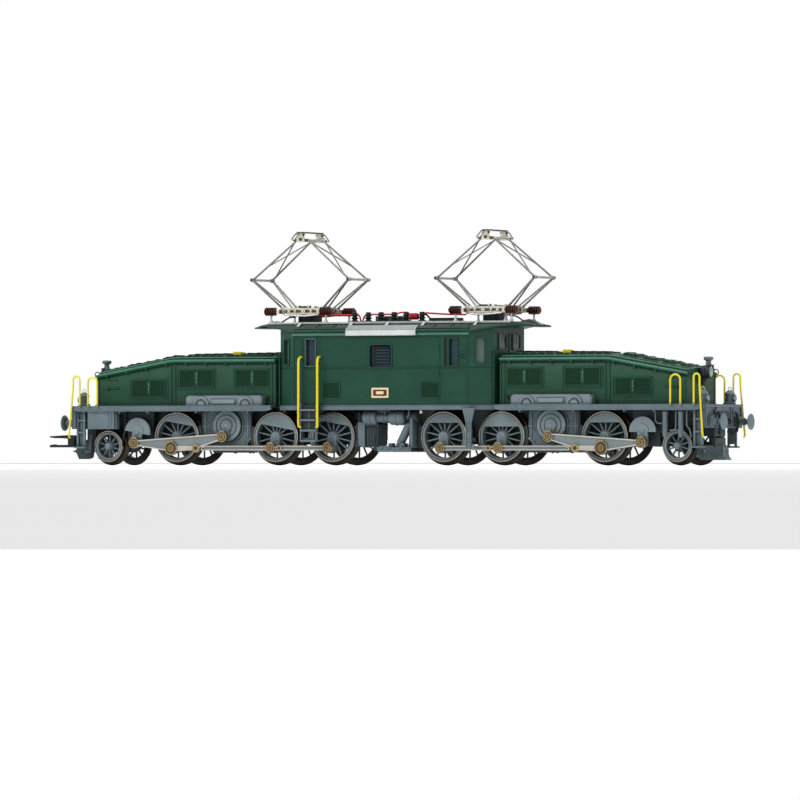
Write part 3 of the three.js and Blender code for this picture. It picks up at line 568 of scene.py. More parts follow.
def drive_jackshaft(end):
    x, z = DRIVE_SHAFT
    shape = Shape(GREY)
    shape.use(STEEL).disc((x, 0, z), 1.15, (-9.8, 9.8))
    for side in SIDES:
        shape.matrix = Matrix.Diagonal((1, side, 1, 1))
        dx, dz = pin_at(end, side)
        shape.use(PALE_GREY).turned([
            (1.0, 9.7), (4.85, 9.7), (4.85, 10.3), (4.65, 10.5), (3.75, 10.5), (3.6, 10.2), (3.35, 10.2),
            (3.2, 10.5), (2.4, 10.5), (2.25, 10.3), (1.9, 10.3), (1.75, 10.7), (0.4, 10.7),
        ], (x, 0, z), "y", 56)
        shape.prism(capsule((x, z), (x + dx, z + dz), 1.3, 1.5), (10.1, 10.8))
        shape.use(WEB_STEEL).disc((x, 0, z), 0.7, (10.6, 10.95), segments=20)
        crank_pin(shape, (x, z), (dx, dz), 10.8)
    name = f"drive_jackshaft_{end}"
    place(shape, f"ringed_{name}", f"drive_shaft_{end}", [name], end, 0.06)


def rod_eye(shape, x, z, radius, brass=True):
    """An eye round a pin: a raised steel boss with a bearing ring, and an oil cup on top."""
    hole = circle(x, z, 1.02, 20)
    shape.use(BRONZE).prism(circle(x, z, radius - 0.1, 32), (ROD_INNER - 0.05, ROD_OUTER + 0.1), holes=[hole])
    shape.use(BRASS if brass else STEEL)
    ring(shape, (x, 0, z), radius - 0.38, radius, (ROD_INNER - 0.05, ROD_OUTER + 0.22), 0.1, 28)
    ring(shape, (x, 0, z), 1.02, 1.16, (ROD_OUTER, ROD_OUTER + 0.18), 0.05, 24)
    shape.use(BRASS).box((x - 0.9, x + 0.9), (ROD_INNER + 0.1, ROD_OUTER + 0.1), (z + radius - 0.5, z + radius + 0.1))
    shape.use(STEEL).disc((x, (ROD_INNER + ROD_OUTER) / 2, z + radius), 0.42, (0.0, 0.35), "z", 12)


def fluted_plate(shape, outline, inset):
    """A rod's plate with a sunk web inside a raised border."""
    window = shrunk(outline, inset)
    shape.use(STEEL).prism(outline, (ROD_INNER, ROD_OUTER), holes=[window])
    shape.use(WEB_STEEL).prism(shrunk(outline, inset - 0.08), (ROD_INNER + 0.3, ROD_OUTER - 0.3))


def triangle_rod(end, side):
    dx, dz = pin_at(end, side)
    wheel_x, wheel_z = DRIVING_AXLES[0] + dx, DRIVING_RADIUS + dz
    blind_x, blind_z = BLIND_SHAFT[0] + dx, BLIND_SHAFT[1] + dz
    drive_x, drive_z = DRIVE_SHAFT[0] + dx, DRIVE_SHAFT[1] + dz
    joint_x = ROD_JOINT_X + dx
    shape = Shape(STEEL)
    shape.matrix = Matrix.Diagonal((1, side, 1, 1))
    fluted_plate(shape, [
        (blind_x, blind_z - 0.75), (wheel_x, wheel_z - 1.05), (joint_x - 1.4, wheel_z - 0.65),
        (drive_x, drive_z - 0.95), (drive_x, drive_z + 0.95), (blind_x, blind_z + 0.75),
    ], 0.42)
    rod_eye(shape, blind_x, blind_z, 1.7)
    rod_eye(shape, wheel_x, wheel_z, 2.2)
    rod_eye(shape, drive_x, drive_z, 1.7)
    shape.use(STEEL).prism(
        capsule((wheel_x, wheel_z), (joint_x, wheel_z), 0.75, 0.7), (ROD_INNER + 0.05, ROD_OUTER - 0.1))
    shape.use(BRASS).disc((joint_x + 0.2, 0, wheel_z), 1.35, (ROD_INNER, ROD_OUTER + 0.15), segments=28)
    shape.use(BRONZE).disc((joint_x + 0.2, 0, wheel_z), 0.6, (ROD_OUTER, ROD_OUTER + 0.38), segments=16)
    name = f"triangle_rod_{end}_{side_name(end, side)}"
    place(shape, f"fluted_{name}", f"{name}_body", [name], end, 0.06)


def coupling_rod(end, side):
    dx, dz = pin_at(end, side)
    z = DRIVING_RADIUS + dz
    start = ROD_JOINT_X + 2.1 + dx
    second, third = DRIVING_AXLES[1] + dx, DRIVING_AXLES[2] + dx
    shape = Shape(STEEL)
    shape.matrix = Matrix.Diagonal((1, side, 1, 1))
    for left, right in ((start, second - 1.2), (second + 1.2, third - 1.2)):
        fluted_plate(shape, [(left, z - 0.72), (right, z - 0.72), (right, z + 0.72), (left + 1.5, z + 0.72),
                             (left, z + 0.25)], 0.3)
    for x in (second, third):
        rod_eye(shape, x, z, 1.65)
    shape.use(BRASS).disc((second + 3.2, 0, z), 0.95, (ROD_INNER - 0.05, ROD_OUTER + 0.2), segments=24)
    shape.use(BRONZE).disc((second + 3.2, 0, z), 0.42, (ROD_OUTER, ROD_OUTER + 0.38), segments=16)
    name = f"coupling_rod_{end}_{side_name(end, side)}"
    place(shape, f"fluted_{name}", f"{name}_body", [name], end, 0.05)


def running_gear(end):
    for index in range(len(DRIVING_AXLES)):
        driving_wheelset(end, index)
    carrying_wheelset(end)
    blind_jackshaft(end)
    drive_jackshaft(end)
    for side in SIDES:
        triangle_rod(end, side)
        coupling_rod(end, side)


# ---- bogie frame, deck and end fittings ----------------------------------------------------------------
def bolts(shape, points, depth, radius=0.28, axis="y"):
    """Small domed heads at points given as (x, y, z)."""
    for point in points:
        shape.disc(point, radius, depth, axis, 8, 0.1)


def louvres(shape, x, z, y, count, lean=0.35):
    """Slats between two heights, standing out from a wall at y towards its outside."""
    pitch = (z[1] - z[0]) / count
    for i in range(count):
        low = z[0] + i * pitch
        shape.prism([(y - 0.1, low + pitch), (y + lean, low + pitch * 0.12), (y + lean, low), (y - 0.1, low)],
                    x, "yz")


def frame_ring(shape, x, z, width, span, radius=0.3):
    """A raised rectangular border on a side wall."""
    hole = rounded((x[0] + width, x[1] - width), (z[0] + width, z[1] - width), max(0.05, radius - width))
    shape.prism(rounded(x, z, radius), span, "xz", [hole[::-1]])


def bogie_casting(end):
    # The casting under the deck in the darker grey: painted shade.
    shape = Shape(DARK_AND_SHADED_GREY)
    shape.prism([
        (13.4, 8), (13.4, 15), (15, 16.4), (38.4, 16.4), (90, 16.8), (90, 7.8), (77, 7.8), (76, 5.4), (16, 5.4),
    ][::-1], (-5.6, 5.6))
    shape.box((89, 107.4), (-4, 4), (7.8, 17))
    for x in [-a for a in DRIVING_AXLES]:
        shape.both_sides(lambda s, x=x: s.prism(rounded((x - 2.4, x + 2.4), (4.6, 12.4), 0.6), (5.5, 6.7)))
    for x in (54.5, 29.0, 47.6):
        shape.box((x - 0.6, x + 0.6), (-9.0, 9.0), (6.2, 7.4))
    shape.use(GREY)
    shape.both_sides(gear_housing_side)
    shape.box((48.9, 63.3), (-9.2, 9.2), (4.2, 17))
    shape.prism([(42, 3.2), (42.6, 2.9), (62.1, 2.9), (62.6, 3.2), (62.6, 5.6), (42, 5.6)], (-6.5, 6.5))
    bolts(shape, [(x, s * 5.2, 0) for x in (44, 49, 55.5, 60.5) for s in SIDES], (2.65, 3.0), 0.4, "z")
    shape.use(DARK_AND_SHADED_GREY).box((49.5, 57), (-4, 4), (17, 28.5))
    shape.turned([(2, 46.9), (2, 50), (1.3, 50), (1.3, 46.9)], (0, 0, 25.9), "x", 24, closed=True)
    shape.both_sides(brake_gear)
    shape.both_sides(jackshaft_bearing)
    if end == "front":
        shape.both_sides(rail_guard)
    flip_x(shape)
    place(shape, f"bogie_casting_{end}", f"bogie_{end}", [f"bogie_frame_{end}"], end, 0.1)


def flip_x(shape):
    """Turns a shape drawn with positive X outwards into the front bogie's own axes."""
    shape.points = [Vector((-p.x, p.y, p.z)) for p in shape.points]


def gear_housing_side(s):
    """The cast side of the gear housing, drawn at positive Y and X."""
    s.use(GREY)
    outline = [(47.9, 16.6), (47.9, 7.0), (49.6, 4.6), (62.6, 4.6), (64.3, 7.0), (64.3, 16.6)]
    s.prism(outline, (9.0, 9.35))
    s.box((47.6, 64.6), (9.1, 9.62), (10.85, 11.2))
    s.prism(circle(55.7, 11.3, 5.6, 44), (9.2, 9.75), holes=[circle(55.7, 11.3, 5.25, 44)[::-1]])
    s.use(BLACK).prism(circle(55.7, 11.3, 5.25, 44), (9.1, 9.42))
    s.use(GREY)
    for x in (48.7, 63.5):
        s.box((x - 0.25, x + 0.25), (9.2, 9.6), (7.2, 16.4))
    bolts(s, [(x, 0, z) for x in (49.7, 62.5) for z in (6.4, 9.9, 12.2, 15.6)], (9.3, 9.62), 0.32)


def brake_gear(s):
    """Brake blocks in front of the tyres on their hangers, drawn at positive Y and X."""
    for wheel, turn in ((73.5, 180), (38.8, 0), (19.1, 180)):
        outer = arc(wheel, DRIVING_RADIUS, 9.0, turn - 24, turn + 22, 8)
        inner = arc(wheel, DRIVING_RADIUS, 8.0, turn + 22, turn - 24, 8)
        s.use(DARK_AND_SHADED_GREY).prism(outer + inner, (8.4, 9.6))
        x = wheel + 9.1 * math.cos(math.radians(turn))
        s.prism(capsule((x, 7.2), (x + 0.2, 14.8), 0.55, 0.45, 6), (8.7, 9.2))
        s.use(STEEL).disc((x, 0, 7.2), 0.35, (9.1, 9.5), segments=10)


def rail_guard(s):
    """A guard hung before the small wheels under the coupler end, drawn at positive Y and X."""
    s.use(PLOUGH_GREY).prism([(104.6, 4.6), (105.2, 1.4), (106.4, 0.9), (109.6, 0.9), (110.4, 2.6), (111.2, 3.4),
                       (109.8, 4.8)][::-1], (5.7, 7.3))
    s.box((103.8, 106.8), (6.2, 6.9), (4.4, 10.6))
    s.box((110.2, 112.0), (6.2, 6.6), (3.1, 3.6))
    s.box((105.0, 108.6), (5.9, 7.1), (4.6, 6.4))
    bolts(s, [(106.3, 0, 3.2), (108.6, 0, 3.2)], (7.2, 7.6), 0.4)


def jackshaft_bearing(s):
    """The sand box and bearing housing behind the blind jackshaft, drawn at positive Y and X."""
    # Darker grey behind the blind jackshaft's weight: painted shade.
    s.use(DARK_AND_SHADED_GREY)
    s.prism([(82.4, 16.8), (82.4, 7.4), (84, 5.0), (90.4, 4.6), (91.4, 6.0), (91.4, 16.8)][::-1], (5.5, 8.4))
    s.prism(circle(86.7, 9.4, 2.6, 32), (8.3, 9.4), holes=[circle(86.7, 9.4, 1.3, 20)[::-1]])
    s.wire([(92.2, 9.2, 16.6), (92.2, 9.2, 9.5), (93.0, 8.9, 7.2), (93.3, 8.7, 4.2)], 0.3, 8)


def deck(end):
    """The running board over the wheels with its side valance."""
    shape = Shape(GREY)
    shape.box((DECK_FRONT, DECK_REAR), (-DECK_HALF, DECK_HALF), (DECK_BOTTOM, DECK_TOP - 0.12))
    shape.box((DECK_FRONT - 0.15, DECK_REAR + 0.1), (-DECK_HALF - 0.12, DECK_HALF + 0.12), (DECK_TOP - 0.16, DECK_TOP))

    def valance(s):
        s.prism([
            (DECK_FRONT, SKIRT_BOTTOM + 0.3), (DECK_FRONT + 3, SKIRT_BOTTOM), (DECK_REAR - 2, SKIRT_BOTTOM),
            (DECK_REAR, SKIRT_BOTTOM + 0.4), (DECK_REAR, DECK_TOP - 0.2), (DECK_FRONT, DECK_TOP - 0.2),
        ], (DECK_HALF - 0.7, DECK_HALF - 0.05))
        s.box((DECK_FRONT + 3, DECK_REAR - 2), (DECK_HALF - 0.1, DECK_HALF + 0.08), (SKIRT_BOTTOM, SKIRT_BOTTOM + 0.22))
        heads = [(x, 0, 16.55) for x in (DECK_FRONT + 4 + 3.1 * i for i in range(21))]
        bolts(s, heads, (DECK_HALF - 0.1, DECK_HALF + 0.08), 0.16)
        for x in (-92, -82, -65, -47):
            s.box((x, x + 0.5), (9.5, DECK_HALF - 0.3), (15.2, DECK_BOTTOM + 0.1))
    shape.both_sides(valance)
    place(shape, f"running_board_{end}", f"bogie_{end}", (), end, 0.06)


def side_casings(end):
    """The low casings beside the bonnet, each with two round covers and a bar between them."""
    shape = Shape(PALE_GREY)

    def casing(s, low, high, top):
        body = [(low, DECK_TOP), (high, DECK_TOP)] + arc(high - 1.3, top - 1.3, 1.3, 0, 90, 6)
        body += arc(low + 1.3, top - 1.3, 1.3, 90, 180, 6)
        s.use(PALE_GREY).prism(body, (HOOD_HALF - 0.2, 13.0))
        s.prism(shrunk(body, 0.35), (12.9, 13.2))
        for x in (low + 5.6, high - 5.6):
            s.use(GREY).prism(arc(x, 17.7, 2.75, 8, 172, 18), (13.1, 13.35))
            s.use(PALE_GREY).prism(arc(x, 17.7, 2.55, 0, 180, 16) + arc(x, 17.7, 2.0, 180, 0, 16), (13.3, 13.65))
            s.prism(arc(x, 17.7, 1.2, 0, 180, 12), (13.3, 13.75))
            for turn in range(20, 180, 28):
                a = math.radians(turn)
                tip = (x + 2.6 * math.cos(a), 13.5, 17.7 + 2.6 * math.sin(a))
                s.wire([(x + 1.2 * math.cos(a), 13.5, 17.7 + 1.2 * math.sin(a)), tip], 0.16, 6)
        start, finish = low + 9.0, high - 9.0
        s.use(GREY).prism([(start, 17.7), (finish, 17.7), (finish + 0.4, 19.9), (start - 0.4, 19.9)], (13.1, 13.3))
        s.use(PALE_GREY).prism([
            (start + 0.5, 18.1), (finish - 0.5, 18.1), (finish - 0.2, 19.4), (start + 0.2, 19.4),
        ], (13.2, 13.65))
        s.box((low + 0.2, high - 0.2), (12.9, 13.7), (DECK_TOP, DECK_TOP + 0.25))
    shape.matrix = Matrix.Diagonal((1, -1, 1, 1))
    casing(shape, -68.6, -41.9, 20.6)
    shape.matrix = Matrix.Identity(4)
    casing(shape, -70.6, -43.4, 20.6)
    place(shape, f"side_casings_{end}", f"bogie_{end}", (), end, 0.1)


def buffer_beam(end):
    """The beam at the outer end with its brackets, steps, pipes and draw gear."""
    shape = Shape(GREY)
    outer = DECK_FRONT
    shape.prism(
        [(-13.6, 10.4), (13.6, 10.4), (13.6, 17.0), (-13.6, 17.0)], (outer, outer + 1.1), "yz",
        [circle(0, 12.6, 1.5, 20)[::-1]])
    shape.box((outer - 0.2, outer + 0.2), (-13.8, 13.8), (16.6, 17.2))
    shape.box((outer - 0.15, outer + 0.3), (-13.6, 13.6), (10.3, 10.8))
    shape.use(DARK_AND_SHADED_GREY).prism(rounded((-3.6, 3.6), (10.9, 15.4), 0.6), (outer - 0.35, outer + 0.2), "yz")
    shape.use(BLACK).box((outer - 1.6, outer - 0.3), (-0.5, 0.5), (11.6, 13.4))
    shape.wire([(outer - 1.2, 0, 12.8), (outer - 2.2, 0, 12.9), (outer - 2.6, 0, 12.2), (outer - 2.1, 0, 11.6)], 0.4)

    def fittings(s):
        s.use(GREY).prism(rounded((8.2, 11.9), (10.5, 13.9), 0.4), (outer - 0.45, outer), "yz")
        bolts(s, [(0, y, z) for y in (8.7, 11.4) for z in (11, 13.4)], (outer - 0.7, outer - 0.4), 0.25, "x")
        s.turned([(1.75, outer - 0.9), (1.75, outer - 0.4), (1.2, outer - 0.3)], (0, 10.06, 12.2), "x", 24)
        for y in (5.4, 13.0):
            s.box((outer - 0.4, outer + 1), (y - 0.3, y + 0.3), (10.5, 16.7))
        s.disc((0, 6.6, 15.2), 0.8, (outer - 1.1, outer), "x", 16)
        s.use(BLACK).wire([
            (outer - 0.9, 6.6, 15.2), (outer - 1.7, 6.7, 14.2), (outer - 1.9, 6.9, 11.6), (outer - 1.7, 6.2, 9.4),
            (outer - 1.2, 5.0, 8.4), (outer - 0.6, 4.4, 9.2),
        ], 0.45, 10)
        s.use(GREY)
        corner_steps(s)
        lantern(s)
    shape.both_sides(fittings)
    place(shape, f"buffer_beam_{end}", f"bogie_{end}", (), end, 0.07)


def corner_steps(s):
    """The pair of posts under each corner with a footboard and tie bars, drawn at positive Y."""
    for x in (-107.4, -105.0):
        s.box((x, x + 0.65), (12.2, 12.9), (4.6, DECK_BOTTOM))
        s.box((x - 0.15, x + 0.8), (12.1, 13.1), (15.2, 16.9))
    s.box((-107.5, -104.2), (12.3, 12.8), (12.7, 13.3))
    s.box((-107.5, -104.2), (12.3, 12.8), (8.9, 9.5))
    s.box((-107.0, -104.6), (11.9, 12.2), (5.4, 16.8))
    s.prism(rounded((-107.9, -104.0), (11.9, 14.0), 0.3), (4.3, 4.75), "xy")
    for y in (12.3, 12.9, 13.5):
        s.box((-107.6, -104.2), (y - 0.1, y + 0.1), (4.7, 4.85))
    s.use(GREY).prism([(-105.4, 3.6), (-104.8, 8.6), (-103.9, 8.6), (-104.3, 3.2)], (8.2, 9.0))
    s.box((-106.2, -104.2), (7.9, 9.4), (2.9, 3.6))


def lantern(s):
    """A signal lamp standing on the deck corner, with a carrying ring. Drawn at positive Y."""
    x, y = -106.2, 10.0
    s.use(GREY).turned([
        (1.0, DECK_TOP), (1.9, DECK_TOP + 0.1), (1.9, DECK_TOP + 0.5), (1.4, DECK_TOP + 0.9), (1.4, 20.3),
        (1.6, 20.4), (1.6, 20.8), (0.9, 21.6), (0.3, 21.8),
    ], (x, y, 0), "z", 24)
    for turn in range(0, 360, 45):
        a = math.radians(turn)
        s.wire([(x + 1.42 * math.cos(a), y + 1.42 * math.sin(a), z) for z in (18.4, 20.4)], 0.12, 6)
    ring_path = [(x + dx, y, dz) for dx, dz in arc(0, 22.2, 0.55, 0, 360, 16)]
    s.use(STEEL).wire(ring_path, 0.14, 6)
    s.use(LENS).turned([(0.75, -1.7), (0.6, -1.95), (0.2, -2.05)], (x, y, 19.4), "x", 20)
    s.use(GREY).turned([(1.1, -1.85), (1.1, -1.2), (0.78, -1.2), (0.78, -1.85)], (x, y, 19.4), "x", 20, closed=True)


def battery_box(end):
    """A box hung under one side of the deck, and the hangers and pipes that face it on the other side."""
    shape = Shape(GREY)
    x0, x1, y, z0 = -103.0, -93.6, -13.75, 10.3
    shape.prism(rounded((x0, x1), (z0, 15.9), 0.25), (y, y + 2.4))
    shape.box((x0 - 0.1, x1 + 0.1), (y - 0.12, y + 2.4), (15.3, 15.9))
    shape.box((x0 + 0.6, x1 - 1.9), (y - 0.12, y + 0.3), (10.9, 15.0))
    shape.box((x1 - 1.2, x1 - 0.9), (y - 0.15, y + 0.3), (z0 + 0.1, 15.6))
    for x in (x0 + 1.6, x1 - 3.1):
        shape.box((x, x + 0.7), (y - 0.25, y), (14.5, 15.5))
    shape.box((-94.2, -93.0), (-13.2, -11.2), (10.3, 16.9))
    for x in (-101, -97, -94.4):
        shape.box((x, x + 0.6), (-13.2, -11.2), (15.8, 17.0))
    for x in (-100.2, -95.0):
        shape.turned([(0.3, 7.3), (0.72, 7.8), (0.78, 8.4), (0.78, 14.4), (0.95, 14.5), (0.95, 15.2), (0.6, 15.3),
                      (0.6, 17)], (x, 12.8, 0), "z", 24)
        shape.disc((x, 12.8, 0), 0.9, (11.2, 11.6), "z", 20)
    shape.wire([(-98.6, 12.9, 16.6), (-98.6, 12.9, 10.4), (-98.0, 12.9, 9.6), (-96.6, 12.9, 9.6)], 0.25, 8)
    shape.wire([(-102.2, 12.9, 16.6), (-102.2, 12.9, 11.0), (-103.2, 12.9, 9.8), (-103.6, 12.6, 7.4)], 0.25, 8)
    shape.wire([(-91.8, 12.9, 16.6), (-91.8, 12.9, 12.5), (-92.6, 12.9, 11.7), (-94.4, 12.8, 11.7)], 0.22, 8)
    shape.box((-104.3, -90.8), (12.2, 13.2), (15.6, 16.2))
    place(shape, f"hung_equipment_{end}", f"bogie_{end}", (), end, 0.08)


def end_rails(end, side):
    """Yellow grab loops: a tall one with a splayed leg at the beam and a shorter one beside the bonnet."""
    y = side * 14.6
    shape = Shape(YELLOW)
    radius = 0.3
    foot, top, width = (-109.2, -106.5, 1.15) if side < 0 else (-108.2, -106.2, 0.95)
    tall = [(foot, 8.0), (foot + 0.2, 9.8), (top - width - 0.05, 23.0)] + arc(top, 25.7, width, 180, 0, 10)
    tall.append((top + width, 17.2))
    shape.wire([(x, y, z) for x, z in tall], radius, 12)
    near, far = (-102.4, -99.2) if side < 0 else (-100.8, -97.5)
    short = [(near, 17.2)] + arc((near + far) / 2, 24.8, (far - near) / 2, 180, 0, 12) + [(far, 17.2)]
    shape.wire([(x, y, z) for x, z in short], radius, 12)
    shape.wire([(foot, y, 8.0), (foot + 0.1, y - side * 0.6, 7.6)], radius, 12)
    for x in (top + width, near, far):
        shape.use(GREY).disc((x, y, 0), 0.6, (DECK_TOP - 0.1, DECK_TOP + 0.35), "z", 16)
    name = f"end_rails_{end}_{side_name(end, side)}"
    place(shape, f"bent_{name}", f"bogie_{end}", [name], end, 0)


def buffer(end, side):
    """A round head on a stepped shank."""
    shape = Shape(GREY)
    y, z = side * BUFFER_Y, BUFFER_Z
    shape.turned([
        (1.7, DECK_FRONT), (1.6, DECK_FRONT - 0.9), (1.2, DECK_FRONT - 1.1), (1.1, DECK_FRONT - 2.2),
        (1.2, DECK_FRONT - 2.3), (1.2, DECK_FRONT - 2.7), (0.8, DECK_FRONT - 2.75),
    ], (0, y, z), "x", 32)
    head = BUFFER_FACE
    shape.disc((0, y, z), 0.85, (DECK_FRONT - 2.7, head + 0.6), "x", 24)
    shape.turned([
        (0.9, head + 0.95), (1.6, head + 0.75), (2.35, head + 0.55), (2.5, head + 0.35), (2.42, head + 0.16),
        (1.6, head + 0.05), (0.5, head),
    ], (0, y, z), "x", 48)
    name = f"buffer_{end}_{side_name(end, side)}"
    place(shape, f"round_{name}", f"bogie_{end}", [name], end, 0, 50)


def headlamp(end):
    """The lamp before the bonnet's front, with a chimney on top and a bracket below."""
    # The lamp body in the darker grey: painted shade.
    shape = Shape(DARK_AND_SHADED_GREY)
    x, z = HOOD_FRONT, 27.4
    shape.turned([
        (1.2, x - 0.2), (1.85, x - 0.5), (1.95, x - 0.9), (1.95, x - 3.1), (2.2, x - 3.15), (2.2, x - 3.5),
        (1.8, x - 3.55), (1.75, x - 3.1),
    ], (0, 0, z), "x", 36)
    shape.use(LENS).turned([(1.78, x - 3.1), (1.5, x - 3.4), (0.5, x - 3.6)], (0, 0, z), "x", 32)
    shape.use(DARK_AND_SHADED_GREY).box((x - 3.7, x - 2.6), (-1.7, 1.7), (29.2, 29.5))
    shape.use(GREY).turned([
        (1.1, 29.0), (0.9, 29.5), (0.75, 30.6), (1.3, 30.9), (1.5, 31.2), (1.5, 31.7), (1.2, 31.9), (0.3, 31.95),
    ], (x - 2.4, 0, 0), "z", 28)
    shape.use(DARK_AND_SHADED_GREY).prism([(x - 2.9, 25.6), (x - 0.3, 22.9), (x - 0.3, 25.6)], (-1.1, 1.1))
    for y in (-2.1, 2.1):
        shape.box((x - 2.0, x - 1.2), (y - 0.15, y + 0.15), (26.2, 28.6))
        shape.disc((x - 1.6, y, z), 0.4, (-0.3, 0.3), "y", 14)
    place(shape, f"lamp_{end}", f"bogie_{end}", [f"headlamp_{end}"], end, 0.1)


def pony_truck(end):
    """The arm and axle block that carry the small wheelset."""
    shape = Shape(DARK_AND_SHADED_GREY)
    shape.prism([(-96, -2.4), (-84, -1.8), (-78.6, -1.8), (-78.6, 1.8), (-84, 1.8), (-96, 2.4)], (4.7, 6.2), "xy",
                [circle(-80, 0, 1.25, 20)[::-1]])
    shape.use(GREY)

    def half(s):
        s.prism(rounded((-99.9, -95.5), (3.0, 7.4), 0.7), (1.4, 5.7), holes=[circle(CARRYING_AXLE, 4.95, 1.35)[::-1]])
        s.box((-98.4, -97.0), (2.2, 5.2), (7.2, 8.2))
        s.box((-103.4, -99.4), (3.6, 5.0), (5.0, 6.2))
    shape.both_sides(half)
    shape.prism(rounded((-99.6, -95.8), (6.3, 7.2), 0.3), (-1.5, 1.5))
    shape.turned([(1.25, 4.6), (2.0, 4.6), (2.0, 6.5), (1.25, 6.5)], (-80, 0, 0), "z", 28, closed=True)
    place(shape, f"pony_frame_{end}", f"pony_{end}", [f"pony_truck_{end}"], end, 0.1)


def coupler():
    """A hook head with two tapering fingers on a swinging shank, at the front end only."""
    shape = Shape(BLACK)
    shape.prism([(-114, -1.4), (-104.7, -1.2), (-104.7, 1.2), (-114, 1.4)], (5.0, 7.0), "xy",
                [circle(-106, 0, 0.95, 16)[::-1]])
    shape.prism(rounded((-3.4, 3.4), (4.6, 8.4), 0.5), (-115.8, -113.4), "yz")
    tip = COUPLER_TIP
    shape.prism([(-113.6, 8.4), (-113.6, 7.3), (-116, 7.3), (tip, 7.7), (tip, 8.15), (-116.4, 8.5)], (-1.5, 1.5))
    shape.prism([(-116, -3.0), (-114.4, -3.2), (-114.4, 3.2), (-116, 3.0), (tip + 1.2, 1.3), (tip + 1.2, -1.3)],
                (7.5, 8.0), "xy")
    shape.prism([(-114.4, -2.6), (-114.4, 2.6), (tip + 0.9, 1.9), (tip, 1.5), (tip, -1.5), (tip + 0.9, -1.9)],
                (4.6, 5.4), "xy")
    shape.prism([(tip, 4.7), (tip + 1.2, 4.6), (tip + 1.2, 5.6), (tip, 5.3)], (-1.2, 1.2))
    shape.box((-116.2, -115.4), (-2.2, 2.2), (5.2, 7.6))
    place(shape, "hook_coupler_front", "coupler", ["coupler_front"], "front", 0.12)


def snow_plough():
    """Two blades in a blunt V under the rear beam, with stiffening ribs and brackets."""
    shape = Shape(PLOUGH_GREY)

    def blade(s):
        curve = [(-108.0, 0.6), (-107.2, 1.6), (-106.8, 3.2), (-107.0, 5.0)]
        back = [(x + 0.45, z) for x, z in curve]
        outline = curve + back[::-1]
        rings = []
        for y, shift in ((0.0, -1.5), (0.7, -1.4), (4.0, -0.2), (8.0, 0.8), (11.4, 1.7)):
            rings.append([(x + shift, y, z) for x, z in outline])
        s.use(PLOUGH_GREY).stack(rings)
        for y, shift in ((3.2, -0.4), (8.6, 1.0)):
            s.prism([(-106.6 + shift, 1.4), (-104.2 + shift, 4.0), (-104.2 + shift, 5.2), (-106.6 + shift, 5.2)],
                    (y - 0.2, y + 0.2))
        s.use(DARK_AND_SHADED_GREY).box((-106.8, -105.2), (1.6, 3.4), (4.8, 9.6))
        bolts(s, [(0, 2.5, z) for z in (6.4, 8.6)], (-107.1, -106.7), 0.28, "x")
    shape.both_sides(blade)
    shape.use(DARK_AND_SHADED_GREY).box((-107.6, -106.2), (-3.8, 3.8), (4.4, 7.3))
    shape.use(GREY).box((-108.6, -107.9), (-0.35, 0.35), (1.0, 5.2))
    place(shape, "plough_blades_rear", "bogie_rear", ["snow_plough_rear"], "rear", 0.08)


# ---- bonnet --------------------------------------------------------------------------------------------
def hood_heights(x):
    """The gutter and ridge heights of the bonnet: level to the seam, then sloping to the front."""
    if x > HOOD_SEAM:
        share = (x - HOOD_SEAM) / (DECK_REAR - HOOD_SEAM)
        return 31.0, 33.1 + 0.4 * share
    share = (HOOD_SEAM - x) / (HOOD_SEAM - HOOD_FRONT)
    return 31.0 - 4.6 * share, 33.1 - 4.5 * share


def hood_section(x, inset=0.0):
    """Half of the bonnet's cross-section, from the deck up to the ridge."""
    gutter, top = hood_heights(x)
    side = HOOD_HALF - inset
    return [(side, DECK_TOP), (side, gutter - inset), (side - 0.35, gutter + 0.6 - inset),
            (side - 1.3, gutter + 1.25 - inset), (5.2, top - 0.25 - inset), (3.6, top - inset)]


def hood_shell(end):
    shape = Shape(HOOD_GREEN)
    wall = 0.7
    stations = [DECK_REAR, HOOD_SEAM, HOOD_FRONT]
    rings = []
    for x in stations:
        outer = hood_section(x)
        inner = hood_section(x, wall)
        loop = [(-y, z) for y, z in outer] + outer[::-1] + inner + [(-y, z) for y, z in inner[::-1]]
        rings.append([(x, y, z) for y, z in loop])
    shape.stack(rings)
    gutter, top = hood_heights(HOOD_FRONT)
    face = [(HOOD_HALF - 0.1, DECK_TOP), (HOOD_HALF - 0.1, gutter - 0.2), (8.9, gutter + 1.1), (5.0, top - 0.4)]
    shape.prism(face + [(-y, z) for y, z in face[::-1]], (HOOD_FRONT + 0.05, HOOD_FRONT + 0.8), "yz")
    gutter, top = hood_heights(DECK_REAR)
    face = [(HOOD_HALF - 0.1, DECK_TOP), (HOOD_HALF - 0.1, gutter - 0.2), (8.9, gutter + 1.1), (5.0, top - 0.4)]
    shape.prism(face + [(-y, z) for y, z in face[::-1]], (DECK_REAR - 0.8, DECK_REAR - 0.05), "yz",
                [[(-4.2, 18.4), (-4.2, 29.5), (4.2, 29.5), (4.2, 18.4)]])
    shape.both_sides(hood_side_details)
    hood_top_details(shape)
    place(shape, f"bonnet_{end}", f"bogie_{end}", [f"hood_{end}"], end, 0.09)


HOOD_PANELS = ((-89.8, -76.4, 19.7, 26.1), (-73.0, -59.6, 22.7, 29.2), (-53.3, -40.2, 22.7, 29.2))


